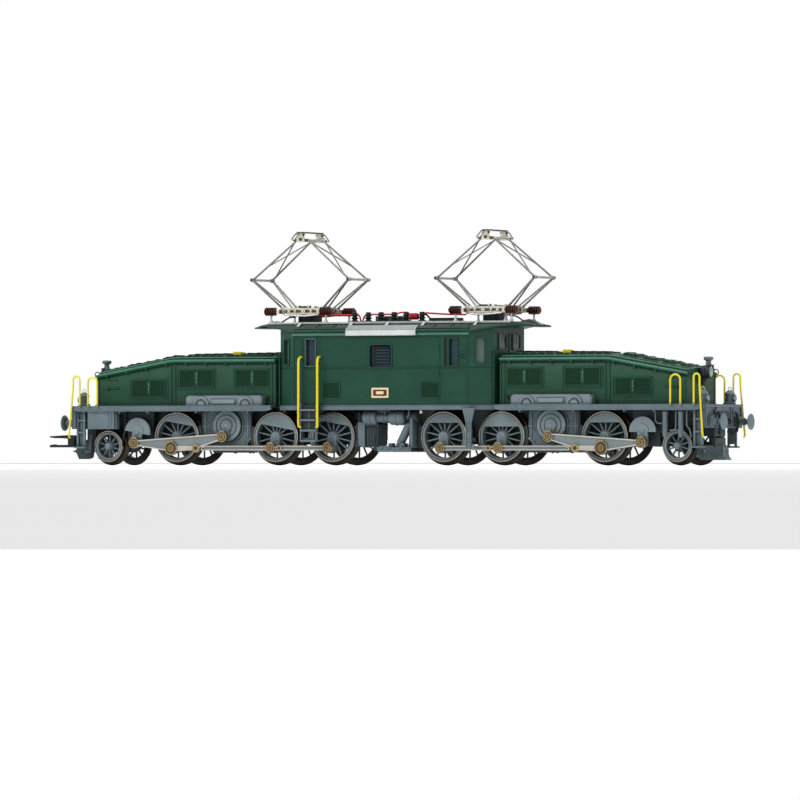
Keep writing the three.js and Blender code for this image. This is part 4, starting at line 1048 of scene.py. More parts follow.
def hood_side_details(s):
    """Louvre panels, ribs, seams, gutter rails and handles of one side, drawn at positive Y."""
    y = HOOD_HALF
    s.use(HOOD_GREEN)
    for x0, x1, z0, z1 in HOOD_PANELS:
        frame_ring(s, (x0, x1), (z0, z1), 0.24, (y - 0.1, y + 0.2))
        frame_ring(s, (x0 + 0.45, x1 - 0.45), (z0 + 0.4, z1 - 0.3), 0.18, (y - 0.1, y + 0.14))
        centre = (x0 + x1) / 2
        for left, right in ((x0 + 1.0, centre - 0.6), (centre + 0.6, x1 - 1.0)):
            frame_ring(s, (left - 0.2, right + 0.2), (z0 + 0.55, z1 - 0.45), 0.2, (y - 0.1, y + 0.3), 0.15)
            # Back plate and slats in the darker green: partly painted shade among the slats.
            s.use(VENT_SHADOW_GREEN).box((left, right), (y - 0.1, y + 0.06), (z0 + 0.7, z1 - 0.65))
            louvres(s, (left, right), (z0 + 0.7, z1 - 0.65), y, 8, 0.3)
            s.use(HOOD_GREEN)
        # Centre bar, latch and handle in the lighter green: a painted highlight.
        s.use(HIGHLIGHT_GREEN).box((centre - 0.2, centre + 0.2), (y, y + 0.28), (z0 + 1.8, z1 - 1.4))
        s.disc((centre, 0, (z0 + z1) / 2), 0.28, (y + 0.1, y + 0.5), segments=12)
        s.wire([(centre, y + 0.35, (z0 + z1) / 2 + 0.9), (centre, y + 0.4, (z0 + z1) / 2 - 0.9)], 0.11, 6)
        s.use(HOOD_GREEN)
        bolts(s, [(x, 0, z) for x in (x0 + 0.5, centre, x1 - 0.5) for z in (z0 + 0.14, z1 - 0.14)],
              (y, y + 0.26), 0.14)
    for x in (HOOD_SEAM - 0.25, HOOD_SEAM + 1.15):
        s.box((x - 0.22, x + 0.22), (y - 0.05, y + 0.28), (DECK_TOP, 30.6))
    for x in (DECK_REAR - 0.35, DECK_REAR - 1.5):
        s.box((x - 0.2, x + 0.2), (y - 0.05, y + 0.25), (DECK_TOP, 30.7))
    s.box((HOOD_FRONT, -69.0), (y - 0.05, y + 0.12), (18.75, 18.95))
    s.box((HOOD_FRONT, DECK_REAR), (y - 0.05, y + 0.35), (DECK_TOP, DECK_TOP + 0.25))
    s.box((HOOD_FRONT - 0.1, HOOD_FRONT + 0.5), (y - 0.6, y + 0.2), (DECK_TOP, 26.2))
    s.box((-98.2, -93.6), (y, y + 0.45), (23.0, 23.25))
    s.box((-97.6, -94.0), (y, y + 0.2), (25.5, 25.65))
    s.box((-98.0, -97.5), (y, y + 0.4), (22.4, 23.0))
    bolts(s, [(HOOD_FRONT + 1.6 + 2.35 * i, 0, 18.2) for i in range(14)], (y, y + 0.14), 0.13)
    s.use(BLACK).wire([(-40.9, y + 0.3, 20.6), (-41.2, y + 0.5, 19.4), (-41.9, y + 0.3, 19.2)], 0.16, 6)
    gutter_rails(s)


def gutter_rails(s):
    """The rounded rails along the shoulder: a thick one over a shadow gap, with a dark wire under it as its painted
    shadow and a lighter wire along its top as a painted highlight, and a thin one above it in the same lighter green.
    """
    def along(x, out, up):
        gutter, _ = hood_heights(x)
        return (x, out, gutter + up)
    bend = [DECK_REAR - 0.2, HOOD_SEAM + 1.2, HOOD_SEAM - 1.2, HOOD_FRONT - 0.2]
    # A dark wire under the thick rail: its painted shadow.
    s.use(VENT_SHADOW_GREEN).wire([along(x, HOOD_HALF + 0.08, -0.42) for x in bend], 0.3, 8)
    s.use(HOOD_GREEN).wire([along(x, HOOD_HALF + 0.32, 0.32) for x in bend], 0.6, 14)
    # A lighter wire along the thick rail's top: a painted highlight; the thin rail above is in the same lighter green.
    s.use(HIGHLIGHT_GREEN).wire([along(x, HOOD_HALF + 0.62, 0.52) for x in bend], 0.36, 10)
    s.wire([along(x, HOOD_HALF - 1.2, 1.35) for x in bend], 0.3, 10)
    s.use(HOOD_GREEN)
    for i in range(9):
        x = DECK_REAR - 3.4 - 7.0 * i
        s.box((x - 0.25, x + 0.25), (HOOD_HALF - 0.1, HOOD_HALF + 0.75), (hood_heights(x)[0] - 0.7,
                                                                          hood_heights(x)[0] + 0.3))
    for x in (-56.0, -66.0):
        s.disc(along(x, HOOD_HALF + 0.32, 0.32), 0.68, (-0.5, 0.5), "x", 14)
    gutter, _ = hood_heights(HOOD_FRONT)
    hook = [(HOOD_FRONT - 0.75 + dx, HOOD_HALF - 1.0, gutter + 0.9 + dz) for dx, dz in arc(0, 0, 0.85, 20, 330, 14)]
    s.wire(hook, 0.17, 8)


def hood_top_details(shape):
    """The ridge of grilles and hatches along the bonnet's top."""
    def crosswise(x, half_width, height, length):
        _, top = hood_heights(x)
        _, ahead = hood_heights(x - length)
        points = [(x, top - 0.2), (x, top + height), (x - length, ahead + height), (x - length, ahead - 0.2)]
        shape.prism(points, (-half_width, half_width))
    shape.use(HOOD_GREEN)
    crosswise(-40.5, 4.4, 0.35, 13.6)
    crosswise(-59.0, 4.4, 0.3, 13.5)
    # Grille slats in the darker green: partly painted shade among them.
    shape.use(VENT_SHADOW_GREEN)
    for start, count in ((-41.2, 11), (-59.6, 12)):
        for i in range(count):
            crosswise(start - 1.1 * i, 4.0, 0.5 if i % 3 else 0.66, 0.6)
    shape.use(HOOD_GREEN)
    for x, length, height in ((-77.0, 4.6, 0.55), (-83.4, 5.0, 0.42), (-90.2, 4.0, 0.5), (-96.0, 3.6, 0.36)):
        crosswise(x, 3.9, height, length)
        crosswise(x - 0.6, 3.2, height + 0.25, 0.5)
        crosswise(x - length + 1.2, 3.2, height + 0.25, 0.5)

    def flanks(s):
        for i in range(12):
            x = -42.0 - 2.75 * i
            _, top = hood_heights(x)
            s.prism([(x, top - 0.5), (x - 1.9, top - 0.5), (x - 1.7, top + 0.05), (x - 0.2, top + 0.05)], (4.9, 7.0))
        for i in range(7):
            x = -77.0 - 3.4 * i
            gutter, top = hood_heights(x - 1.2)
            s.prism([(x, top - 0.9), (x - 2.4, top - 1.25), (x - 2.4, top - 0.55), (x, top - 0.15)], (4.6, 6.6))
    shape.both_sides(flanks)
    _, top = hood_heights(-56.2)

    for side, x in ((-1, -54.75), (1, -58.5)):
        shape.use(YELLOW).prism([(x - 1.4, top - 0.7), (x + 1.4, top - 0.7), (x + 1.3, top + 1.0), (x - 1.3, top + 1.0)],
                                (side * 4.8 - 0.4, side * 4.8 + 0.4))


def bogie(end):
    running_gear(end)
    bogie_casting(end)
    deck(end)
    side_casings(end)
    buffer_beam(end)
    battery_box(end)
    hood_shell(end)
    headlamp(end)
    pony_truck(end)
    for side in SIDES:
        end_rails(end, side)
        buffer(end, side)


# ---- body ----------------------------------------------------------------------------------------------
def on_side(shape, turned_round):
    """Draws on the near side as written, or on the far side turned half round."""
    shape.matrix = Matrix.Rotation(math.pi, 4, "Z") if turned_round else Matrix.Identity(4)


SIDE_WINDOWS = {
    "door": ((-25.7, -22.1), (29.5, 38.0), 0.4),
    "centre": ((-3.8, 4.0), (28.9, 36.2), 1.1),
    "slot": ((21.9, 22.7), (29.2, 38.0), 0.3),
    "cab": ((23.4, 26.5), (29.4, 37.9), 0.3),
}
END_TOP = 41.3
GRILLE_FRONT, GRILLE_REAR = (-19.8, -13.7), (13.9, 20.4)


def body_walls():
    """Long sides, slanted corner panels and ends, each a plate with its windows cut through."""
    shape = Shape(BODY_GREEN)
    wall = 0.9
    corner = math.atan2(BODY_HALF - BODY_END_HALF, BODY_END - BODY_SIDE_END)
    length = math.hypot(BODY_HALF - BODY_END_HALF, BODY_END - BODY_SIDE_END)
    for turned_round in (False, True):
        on_side(shape, turned_round)
        holes = [rounded(x, z, radius) for x, z, radius in SIDE_WINDOWS.values()]
        side = [(-BODY_SIDE_END, SILL_TOP), (BODY_SIDE_END, SILL_TOP), (BODY_SIDE_END, BODY_TOP),
                (-BODY_SIDE_END, BODY_TOP)]
        shape.use(BODY_GREEN).prism(side, (-BODY_HALF, -BODY_HALF + wall), holes=holes)
        side_wall_details(shape)
        facing = shape.matrix.copy()
        for mirror in SIDES:
            panel = Matrix.Translation((BODY_SIDE_END, -BODY_HALF, 0)) @ Matrix.Rotation(corner, 4, "Z")
            shape.matrix = facing @ Matrix.Diagonal((mirror, 1, 1, 1)) @ panel
            corner_panel(shape, length, wall)
        shape.matrix = facing
    for end in SIDES:
        shape.matrix = Matrix.Diagonal((end, 1, 1, 1))
        holes = [rounded((side * 2.3, side * 7.5), (34.7, 39.2), 0.35) for side in SIDES]
        face = [(-BODY_END_HALF, SILL_TOP), (BODY_END_HALF, SILL_TOP), (BODY_END_HALF, END_TOP),
                (-BODY_END_HALF, END_TOP)]
        shape.use(BODY_GREEN).prism(face, (BODY_END - wall, BODY_END), "yz",
                                    [*holes, rounded((-3.6, 3.6), (18.6, 28.9), 0.5)])
        end_wall_details(shape)
    place(shape, "body_walls", "body", ["body_shell"], bevel=0.08)


def side_wall_details(s):
    """Ribs, door lines, window frames, louvres and a plate, drawn on the near side."""
    y = -BODY_HALF
    left, right = -BODY_SIDE_END, BODY_SIDE_END
    s.use(BODY_GREEN)
    for z, out, tall in ((28.75, 0.24, 0.34), (38.25, 0.16, 0.25)):
        s.prism([(y + 0.1, z), (y - out, z + tall * 0.3), (y - out, z + tall * 0.7), (y + 0.1, z + tall)],
                (left + 0.1, right - 0.1), "yz")
    # The eave moulding in the lighter green: a painted highlight.
    s.use(HIGHLIGHT_GREEN).prism([
        (y + 0.1, 38.75), (y - 0.35, 38.95), (y - 0.5, 39.3), (y - 0.42, 39.7), (y + 0.1, 39.8),
    ], (left - 0.2, right + 0.2), "yz")
    s.use(BODY_GREEN)
    s.box((left, right), (y - 0.16, y + 0.1), (SILL_TOP, SILL_TOP + 0.25))
    for x in (left + 0.25, right - 0.25):
        s.box((x - 0.2, x + 0.2), (y - 0.14, y + 0.1), (SILL_TOP, 38.8))
    door_panel(s, -23.9, 3.0, 17.8, 39.0)
    door_panel(s, 24.9, 4.7, 17.8, 38.8)
    window_frame(s, "door", 0.34, 0.3, WINDOW_FRAME)
    window_frame(s, "centre", 0.4, 0.25, BODY_GREEN)
    window_frame(s, "cab", 0.3, 0.25, BODY_GREEN)
    # A black sheet in the slot: painted shade of the opening.
    s.use(BLACK).box((21.95, 22.65), (y + 0.2, y + 0.5), (29.3, 37.9))
    (x0, x1), (z0, z1), _ = SIDE_WINDOWS["centre"]
    for i in range(7):
        z = z0 + 0.35 + i * (z1 - z0 - 0.7) / 7
        s.use(WINDOW_SLAT).prism([(y + 0.95, z + 0.95), (y + 0.5, z + 0.2), (y + 0.5, z), (y + 0.95, z + 0.75)],
                                 (x0 + 1.6, x1), "yz")
    s.use(BLACK).box((x0 + 0.9, x0 + 1.6), (y + 0.4, y + 1.0), (z0, z1))
    s.use(WINDOW_SLAT).box((x1 - 1.0, x1 - 0.8), (y + 0.4, y + 0.7), (z0, z1))
    for x in (GRILLE_FRONT, GRILLE_REAR):
        z = (19.3, 24.7)
        s.use(BODY_GREEN)
        s.matrix = s.matrix @ Matrix.Diagonal((1, -1, 1, 1))
        frame_ring(s, x, z, 0.35, (-y - 0.1, -y + 0.2), 0.2)
        # Grille back and slats in the darker green: partly painted shade among them.
        s.use(VENT_SHADOW_GREEN).box((x[0] + 0.35, x[1] - 0.35), (-y - 0.1, -y + 0.05), (z[0] + 0.35, z[1] - 0.35))
        louvres(s, (x[0] + 0.4, x[1] - 0.4), (z[0] + 0.4, z[1] - 0.4), -y, 8, 0.24)
        s.matrix = s.matrix @ Matrix.Diagonal((1, -1, 1, 1))
    s.use(PLATE).prism(rounded((-2.9, 2.9), (19.7, 22.8), 0.25), (y - 0.22, y))
    s.use(BROWN).prism(rounded((-2.3, 2.3), (20.3, 22.2), 0.2), (y - 0.28, y))
    s.use(PLATE).prism(rounded((-1.3, 1.3), (20.8, 21.7), 0.2), (y - 0.34, y))
    s.use(BODY_GREEN).disc((27.6, 0, 32.3), 0.42, (y - 0.3, y + 0.1), segments=14)
    s.use(DARK_AND_SHADED_GREY).wire([(27.2, y - 0.5, 33.1), (27.7, y - 0.6, 32.4), (28.3, y - 0.5, 32.1), (28.6, y - 0.1, 32.4)], 0.13, 8)
    s.use(BODY_GREEN)
    bolts(s, [(x, 0, 18.35) for x in [-28.6 + 3.0 * i for i in range(20)] if abs(x + 23.9) > 3.2],
          (y - 0.1, y), 0.13)


def door_panel(s, x, half_width, z0, z1):
    """The raised edge strips of a door and its hinges."""
    y = -BODY_HALF
    s.use(BODY_GREEN)
    for side in SIDES:
        edge = x + side * half_width
        s.box((edge - 0.14, edge + 0.14), (y - 0.14, y + 0.1), (z0, z1))
    s.box((x - half_width, x + half_width), (y - 0.12, y + 0.1), (z0 + 0.5, z0 + 0.7))
    s.box((x - half_width + 0.7, x + half_width - 0.7), (y - 0.1, y + 0.1), (20.3, 20.45))
    for z in (20.5, 27.0, 34.5):
        s.disc((x - half_width, y - 0.1, 0), 0.22, (z - 0.5, z + 0.5), "z", 10)


def window_frame(s, name, width, out, material):
    """A frame round a window with the glass behind it."""
    (x0, x1), (z0, z1), radius = SIDE_WINDOWS[name]
    y = -BODY_HALF
    outer = rounded((x0 - width * 0.5, x1 + width * 0.5), (z0 - width * 0.5, z1 + width * 0.5), radius + width * 0.5)
    inner = rounded((x0 + width * 0.5, x1 - width * 0.5), (z0 + width * 0.5, z1 - width * 0.5),
                    max(0.1, radius - width * 0.5))
    s.use(material).prism(outer, (y - out, y + 0.5), holes=[inner[::-1]])


def corner_panel(s, length, wall):
    """One slanted corner panel with its tall window, drawn along X from the body's corner."""
    centre = length / 2 - 0.1
    window = rounded((centre - 1.5, centre + 1.5), (30.0, 38.0), 0.9)
    plate = [(0.0, SILL_TOP), (length, SILL_TOP), (length, END_TOP), (0.0, BODY_TOP)]
    s.use(BODY_GREEN).prism(plate, (0, wall), holes=[window[::-1]])
    s.prism(rounded((centre - 1.8, centre + 1.8), (29.7, 38.3), 1.1), (-0.25, 0.1),
            holes=[rounded((centre - 1.4, centre + 1.4), (30.1, 37.9), 0.8)[::-1]])
    s.use(WINDOW_FRAME).prism(rounded((centre - 1.4, centre + 1.4), (30.1, 37.9), 0.8), (0.3, 0.6),
                              holes=[rounded((centre - 1.2, centre + 1.2), (30.3, 37.7), 0.7)[::-1]])
    # The belt rib as a thin strip in the darker green: a painted shadow line.
    s.use(VENT_SHADOW_GREEN).box((0.1, length - 0.1), (-0.1, 0.1), (28.8, 29.0))
    s.use(BODY_GREEN).box((0, length), (-0.14, 0.1), (SILL_TOP, SILL_TOP + 0.25))
    s.use(BODY_GREEN)
    x = length - 0.25
    s.wire([(x, -0.5, z) for z in (17.6, 33.4)] + [(x, 0.1, 34.0)], 0.26, 10)
    for i in range(9):
        s.disc((x, -0.5, 0), 0.36, (18.6 + 1.8 * i, 19.1 + 1.8 * i), "z", 12)


def end_wall_details(s):
    """Window frames, ribs and lamp brackets of one end, drawn at positive X."""
    x = BODY_END
    for side in SIDES:
        outer = rounded((side * 1.9, side * 7.9), (34.3, 39.5), 0.5)
        inner = rounded((side * 2.5, side * 7.3), (34.9, 39.0), 0.3)
        s.use(BODY_GREEN).prism(outer, (x - 0.3, x + 0.3), "yz", [inner[::-1]])
        s.use(BLACK).wire([(x + 0.35, side * 4.9, 39.3), (x + 0.45, side * 4.0, 36.2)], 0.12, 6)
    s.use(BODY_GREEN).box((x - 0.1, x + 0.2), (-0.3, 0.3), (29, 39.6))
    s.box((x - 0.1, x + 0.16), (-10.4, 10.4), (39.4, 39.7))


def glazing():
    """Panes behind every window."""
    shape = Shape(GLASS)
    for turned_round in (False, True):
        on_side(shape, turned_round)
        for name, ((x0, x1), (z0, z1), _) in SIDE_WINDOWS.items():
            if name != "slot":
                shape.use(GLASS).prism(rounded((x0 - 0.2, x1 + 0.2), (z0 - 0.2, z1 + 0.2), 0.5),
                                       (-BODY_HALF + 0.95, -BODY_HALF + 1.2))
        corner = math.atan2(BODY_HALF - BODY_END_HALF, BODY_END - BODY_SIDE_END)
        facing = shape.matrix.copy()
        for mirror in SIDES:
            panel = Matrix.Translation((BODY_SIDE_END, -BODY_HALF, 0)) @ Matrix.Rotation(corner, 4, "Z")
            shape.matrix = facing @ Matrix.Diagonal((mirror, 1, 1, 1)) @ panel
            # Corner panes in the paler glazing: partly a painted reflection.
            shape.use(GLASS_PALE).prism(rounded((2.2, 5.6), (29.8, 38.2), 0.3), (0.95, 1.2))
        shape.matrix = facing
    for end in SIDES:
        shape.matrix = Matrix.Diagonal((end, 1, 1, 1))
        for side in SIDES:
            # End panes in the paler glazing: partly a painted reflection.
            shape.use(GLASS_PALE).prism(rounded((side * 2.3, side * 7.5), (34.7, 39.2), 0.35),
                                        (BODY_END - 0.35, BODY_END - 0.05), "yz")
    place(shape, "window_panes", "body", ["window_glazing"], bevel=0.04)


def body_outline(offset):
    end, side = (BODY_END + offset, BODY_END_HALF + 0.4 * offset), (BODY_SIDE_END + 0.4 * offset, BODY_HALF + offset)
    half = [(end[0], -end[1]), (end[0], end[1]), (side[0], side[1]), (-side[0], side[1])]
    return half + [(-x, -y) for x, y in half]


TANK_SHIFT = 1.3
SILL_ENDS = 16.8


def under_frame():
    """The sill round the body, the floor, the tongues to the bogies, and the tanks and steps between them."""
    shape = Shape(GREY)
    shape.prism(body_outline(0.25), (SILL_ENDS, SILL_TOP), "xy", [body_outline(-1.9)[::-1]])
    shape.prism(body_outline(0.45), (SILL_TOP - 0.22, SILL_TOP), "xy", [body_outline(-1.0)[::-1]])
    for side in SIDES:
        for out, inwards, low, high in ((0.25, -1.9, SILL_BOTTOM + 0.1, SILL_ENDS + 0.1),
                                        (0.35, -1.0, SILL_BOTTOM, SILL_BOTTOM + 0.22)):
            rim, inner = body_outline(out), body_outline(inwards)
            for i in (1, 2, 3):
                stretch = (rim[i], rim[i + 1], inner[i + 1], inner[i])
                shape.prism([(side * x, side * y) for x, y in stretch], (low, high), "xy")
    # Floor and the boxes under the body in the darker grey: painted shade.
    shape.use(DARK_AND_SHADED_GREY).prism(body_outline(-1.2), (17.0, 18.4), "xy")
    for end in SIDES:
        shape.prism([(end * 30, 3.2), (end * 30, -3.2), (end * 46, -3.2), (end * 47.4, 0), (end * 46, 3.2)],
                    (17.95, 19.6), "xy")
        shape.use(STEEL).disc((end * 45, 0, 0), 1.5, (12, 18.6), "z", 28)
        shape.use(DARK_AND_SHADED_GREY)
    for turned_round in (False, True):
        on_side(shape, turned_round)
        shape.matrix = shape.matrix @ Matrix.Diagonal((1, -1, 1, 1))
        shape.matrix = shape.matrix @ Matrix.Translation((TANK_SHIFT, 0, 0))
        air_tank(shape)
    shape.matrix = Matrix.Identity(4)
    shape.use(DARK_AND_SHADED_GREY).box((-7.6, 7.6), (-8.4, 8.4), (12.0, 17.0))
    for turned_round in (False, True):
        on_side(shape, turned_round)
        shape.use(DARK_AND_SHADED_GREY).box((-6.8, -2.7), (-9.0, -4.6), (5.4, 12.2))
        corner_step(shape)
        facing = shape.matrix.copy()
        shape.matrix = facing @ Matrix.Diagonal((1, -1, 1, 1))
        equipment_box(shape)
        if turned_round:
            shape.prism([(-0.5, 4.3), (1.7, 4.3), (1.2, 12.4), (0.0, 12.4)], (10.0, 11.2))
        else:
            slanted_cylinder(shape)
        shape.matrix = facing
    place(shape, "under_frame", "body", ["main_frame"], bevel=0.1)


def air_tank(s):
    """An air tank hung under the sill by straps, drawn at positive Y."""
    y, z = 11.2, 13.7
    s.use(GREY).turned([
        (0.9, -9.0), (1.7, -8.8), (2.3, -8.1), (2.35, -7.8), (2.35, -4.4), (2.2, -4.1), (1.5, -3.9), (1.5, 0.4),
        (2.2, 0.6), (2.35, 0.9), (2.35, 4.6), (2.1, 5.2), (1.5, 5.6), (0.6, 5.7),
    ], (0, y, z), "x", 36)
    for x, radius in ((-6.2, 2.4), (-1.8, 1.6), (2.6, 2.4)):
        s.turned([(radius, x - 0.35), (radius + 0.14, x - 0.3), (radius + 0.14, x + 0.3), (radius, x + 0.35)],
                 (0, y, z), "x", 36)
        s.box((x - 0.3, x + 0.3), (y - 2.0, y + 1.2), (z + 1.3, 17.0))
    s.box((-4.2, 0.8), (y - 1.6, y + 0.6), (z + 1.4, 16.4))
    s.use(DARK_AND_SHADED_GREY).turned([(0.8, 5.6), (1.7, 5.9), (1.85, 6.2), (1.85, 9.2), (1.5, 9.6), (0.5, 9.7)],
                            (0, y - 0.6, z + 0.4), "x", 28)
    s.use(GREY).wire([(5.4, y, z), (6.6, y + 1.2, z), (7.4, y + 1.6, z + 0.8), (7.4, y + 1.6, 16.4)], 0.3, 8)
    s.wire([(-1.0, y + 1.4, z + 1.0), (-0.6, y + 2.0, z + 1.6), (-0.6, y + 2.0, 16.6)], 0.22, 8)


def equipment_box(s):
    """The box below the tank and the long low step beside it, drawn at positive Y."""
    s.use(DARK_AND_SHADED_GREY).prism([(-7.2, 11.8), (-6.8, 4.6), (-3.0, 4.6), (-2.7, 6.6), (-2.5, 11.8)][::-1], (4.6, 11.4))
    s.use(GREY).prism([(-9.4, 12.2), (-9.0, 5.0), (-6.9, 4.4), (-6.9, 12.2)], (8.2, 12.0))
    s.use(DARK_AND_SHADED_GREY).prism([(-6.4, 10.6), (-6.2, 5.4), (-3.4, 5.4), (-3.1, 10.6)][::-1], (11.3, 11.7))
    s.box((-7.4, -2.4), (5.0, 11.9), (11.0, 11.7))
    for x in (-5.8, -4.8, -3.8):
        s.box((x - 0.25, x + 0.25), (11.6, 11.9), (6.0, 10.2))
    s.box((-4.2, -1.0), (9.9, 11.3), (3.5, 5.0))
    s.use(DARK_AND_SHADED_GREY).box((-2.0, 9.6), (9.8, 13.2), (3.2, 3.9))
    s.use(GREY).prism([(-2.2, 4.4), (-1.8, 3.1), (9.6, 3.1), (9.6, 4.5), (1.8, 4.5), (1.4, 4.9), (-0.6, 4.9)],
                      (12.9, 13.3))
    s.prism([(1.0, 4.2), (3.0, 4.2), (2.5, 5.8), (1.6, 5.8)], (9.9, 12.4))
    s.prism([(5.2, 4.2), (7.2, 4.2), (6.9, 5.8), (5.7, 5.8)], (9.9, 12.8))
    for x in (-0.4, 2.2, 6.2, 8.8):
        s.disc((x, 0, 4.4), 0.45, (12.6, 13.6), segments=14)


def slanted_cylinder(s):
    """The slanted cylinder and the plate beside it, drawn at positive Y."""
    s.use(GREY).wire([(7.9, 11.0, 11.3), (4.9, 11.0, 5.6)], 1.3, 20)
    s.disc((4.9, 11.0, 0), 1.4, (4.4, 5.4), "z", 20)
    s.disc((8.1, 11.0, 0), 1.5, (10.6, 11.8), "z", 20)
    s.prism([(7.9, 4.4), (9.4, 4.4), (9.4, 12.6), (8.4, 12.6), (8.3, 6.4)], (9.6, 12.0))
    s.box((8.9, 9.7), (8.6, 12.5), (4.4, 13.4))


def corner_step(s):
    """A narrow step hung from the sill near the corner, drawn on the near side."""
    y = (-15.7, -15.1)
    s.use(GREY).prism([(28.2, 16.5), (32.4, 16.5), (31.3, 12.0), (29.4, 12.0)][::-1], y)
    s.prism([(29.4, 12.2), (31.3, 12.2), (31.1, 4.6), (30.6, 3.9), (30.1, 3.9), (29.6, 4.6)][::-1], (-15.6, -15.0))
    for x in (29.5, 31.1):
        s.box((x - 0.12, x + 0.12), (-15.8, -14.9), (4.6, 12.2))
    for z in (6.4, 9.6, 11.8):
        s.box((29.4, 31.3), (-15.9, -15.4), (z, z + 0.3))
    s.box((28.6, 32.1), (-15.5, -15.1), (5.0, 5.5))
    s.use(STEEL).disc((13.9, -14.9, 15.3), 0.5, (-0.5, 0.5), "z", 16)
    s.use(GREY).box((13.7, 14.1), (-15.1, -14.7), (15.4, 16.2))


def door_steps(side):
    """The ladder under a side door and its two tall yellow rails."""
    shape = Shape(GREY)
    on_side(shape, side == "far")
    x = -23.8
    for edge in SIDES:
        shape.box((x + edge * 2.45, x + edge * 2.85), (-17.2, -16.3), (6.2, SILL_TOP + 0.3))
        shape.box((x + edge * 2.3, x + edge * 2.9), (-16.6, -15.4), (16.2, SILL_TOP + 0.2))
        foot = x + edge * 3.25
        shape.use(YELLOW).wire([
            (foot - edge * 0.7, -16.8, 10.6), (foot, -17.2, 11.0), (foot, -17.35, 12.0), (foot, -17.35, 30.6),
            (foot, -17.1, 31.7), (foot - edge * 0.1, -16.4, 32.3), (foot - edge * 0.1, -15.2, 32.4),
        ], 0.38, 14)
        shape.wire([(foot, -17.3, 17.6), (foot - edge * 0.4, -16.6, 17.6)], 0.3, 10)
        shape.use(GREY)
    for z in (6.2, 9.4, 12.6, 15.7):
        shape.prism(rounded((x - 2.7, x + 2.7), (-17.6, -16.2), 0.2), (z, z + 0.45), "xy")
        shape.box((x - 2.7, x + 2.7), (-17.65, -17.45), (z + 0.1, z + 0.6))
    shape.box((x - 2.6, x + 2.6), (-16.5, -16.3), (6.3, 7.4))
    # A dark sheet behind the ladder: painted shade.
    shape.use(DARK_AND_SHADED_GREY).box((x - 2.3, x + 2.3), (-16.4, -16.1), (9.6, SILL_TOP))
    shape.use(GREY).box((x - 0.2, x + 0.2), (-16.6, -16.3), (6.4, 16.0))
    place(shape, f"railed_door_steps_{side}", "body", [f"door_steps_{side}"], bevel=0.05)


# ---- roof ----------------------------------------------------------------------------------------------
EAVE = 39.85


def roof_half_width(x):
    """Half of the roof's width in plan, narrowing beyond the sides towards the visors."""
    corners = [(30.6, 15.9), (37.6, 12.4), (42.0, 9.9), (45.8, 7.6), (47.9, 3.4)]
    x = abs(x)
    if x <= corners[0][0]:
        return corners[0][1]
    for (x0, y0), (x1, y1) in zip(corners, corners[1:]):
        if x <= x1:
            return y0 + (y1 - y0) * (x - x0) / (x1 - x0)
    return corners[-1][1]


ROOF_ARCH = ((0.0, 43.1), (4.8, 43.0), (8.7, 42.55), (9.9, 42.3), (13.0, 41.6), (15.3, 40.6), (15.9, 40.35))


def arch_height(y):
    """The height of the roof's arch at a distance from its centre line."""
    for (y0, z0), (y1, z1) in zip(ROOF_ARCH, ROOF_ARCH[1:]):
        if y <= y1:
            return z0 + (z1 - z0) * (y - y0) / (y1 - y0)
    return ROOF_ARCH[-1][1]


def roof_section(half_width, crown):
    """Half of the roof's cross-section: the arch cut off at a half width, from the eave up to the crown."""
    points = [(half_width, arch_height(half_width) - 0.5)]
    for share in (1.0, 0.965, 0.82, 0.62, 0.55, 0.3, 0.0):
        points.append((half_width * share, arch_height(half_width * share)))
    return [(y, EAVE + (z - EAVE) * crown) for y, z in points]


def roof_shell():
    shape = Shape(ROOF_GREEN)
    stations = [0, 30.6, 34, 37.6, 40, 42.0, 44, 45.8, 47.0, 47.9]
    rings = []
    for x in [-s for s in stations[::-1]] + stations[1:]:
        crown = 1.0 if abs(x) < 42 else 1.0 - 0.42 * ((abs(x) - 42) / 5.9) ** 2
        half = roof_section(roof_half_width(x), crown)
        loop = half + [(-y, z) for y, z in half[-2::-1]]
        rings.append([(x, y, z) for y, z in loop])
    shape.stack(rings)
    for end in SIDES:
        visor(shape, end)
        dome = [(r * 6.2, 40.8 + 3.0 * math.cos(r * math.pi / 2)) for r in (0.02, 0.3, 0.5, 0.65, 0.75, 0.82)]
        shape.use(DOME_GREEN).turned(dome, (end * 43.4, 0, 0), "z", 40)
        shape.use(ROOF_GREEN)
    shape.both_sides(roof_side_details)
    place(shape, "roof_shell", "body", ["roof"], bevel=0.08, smooth=30)


def visor(s, end):
    """The flat peak over the end windows with its ribbed upper face."""
    plan = [(44, 8.4), (46.2, 7.4), (48.6, 5.0), (50.1, 1.8), (50.1, -1.8), (48.6, -5.0), (46.2, -7.4), (44, -8.4)]
    s.use(ROOF_GREEN).prism([(end * x, y) for x, y in plan], (41.35, 41.8), "xy")
    s.prism([(end * 38, 7.8), (end * 46, 7.2), (end * 46, -7.2), (end * 38, -7.8)], (41.5, 42.1), "xy")
    # Visor ribs in the lighter green: a painted highlight.
    s.use(HIGHLIGHT_GREEN)
    for i in range(11):
        y = -6.0 + 1.2 * i
        reach = 49.7 - abs(y) ** 2 * 0.09
        s.box((end * 45.2, end * reach), (y - 0.22, y + 0.22), (41.75, 42.0))
    s.use(ROOF_GREEN)


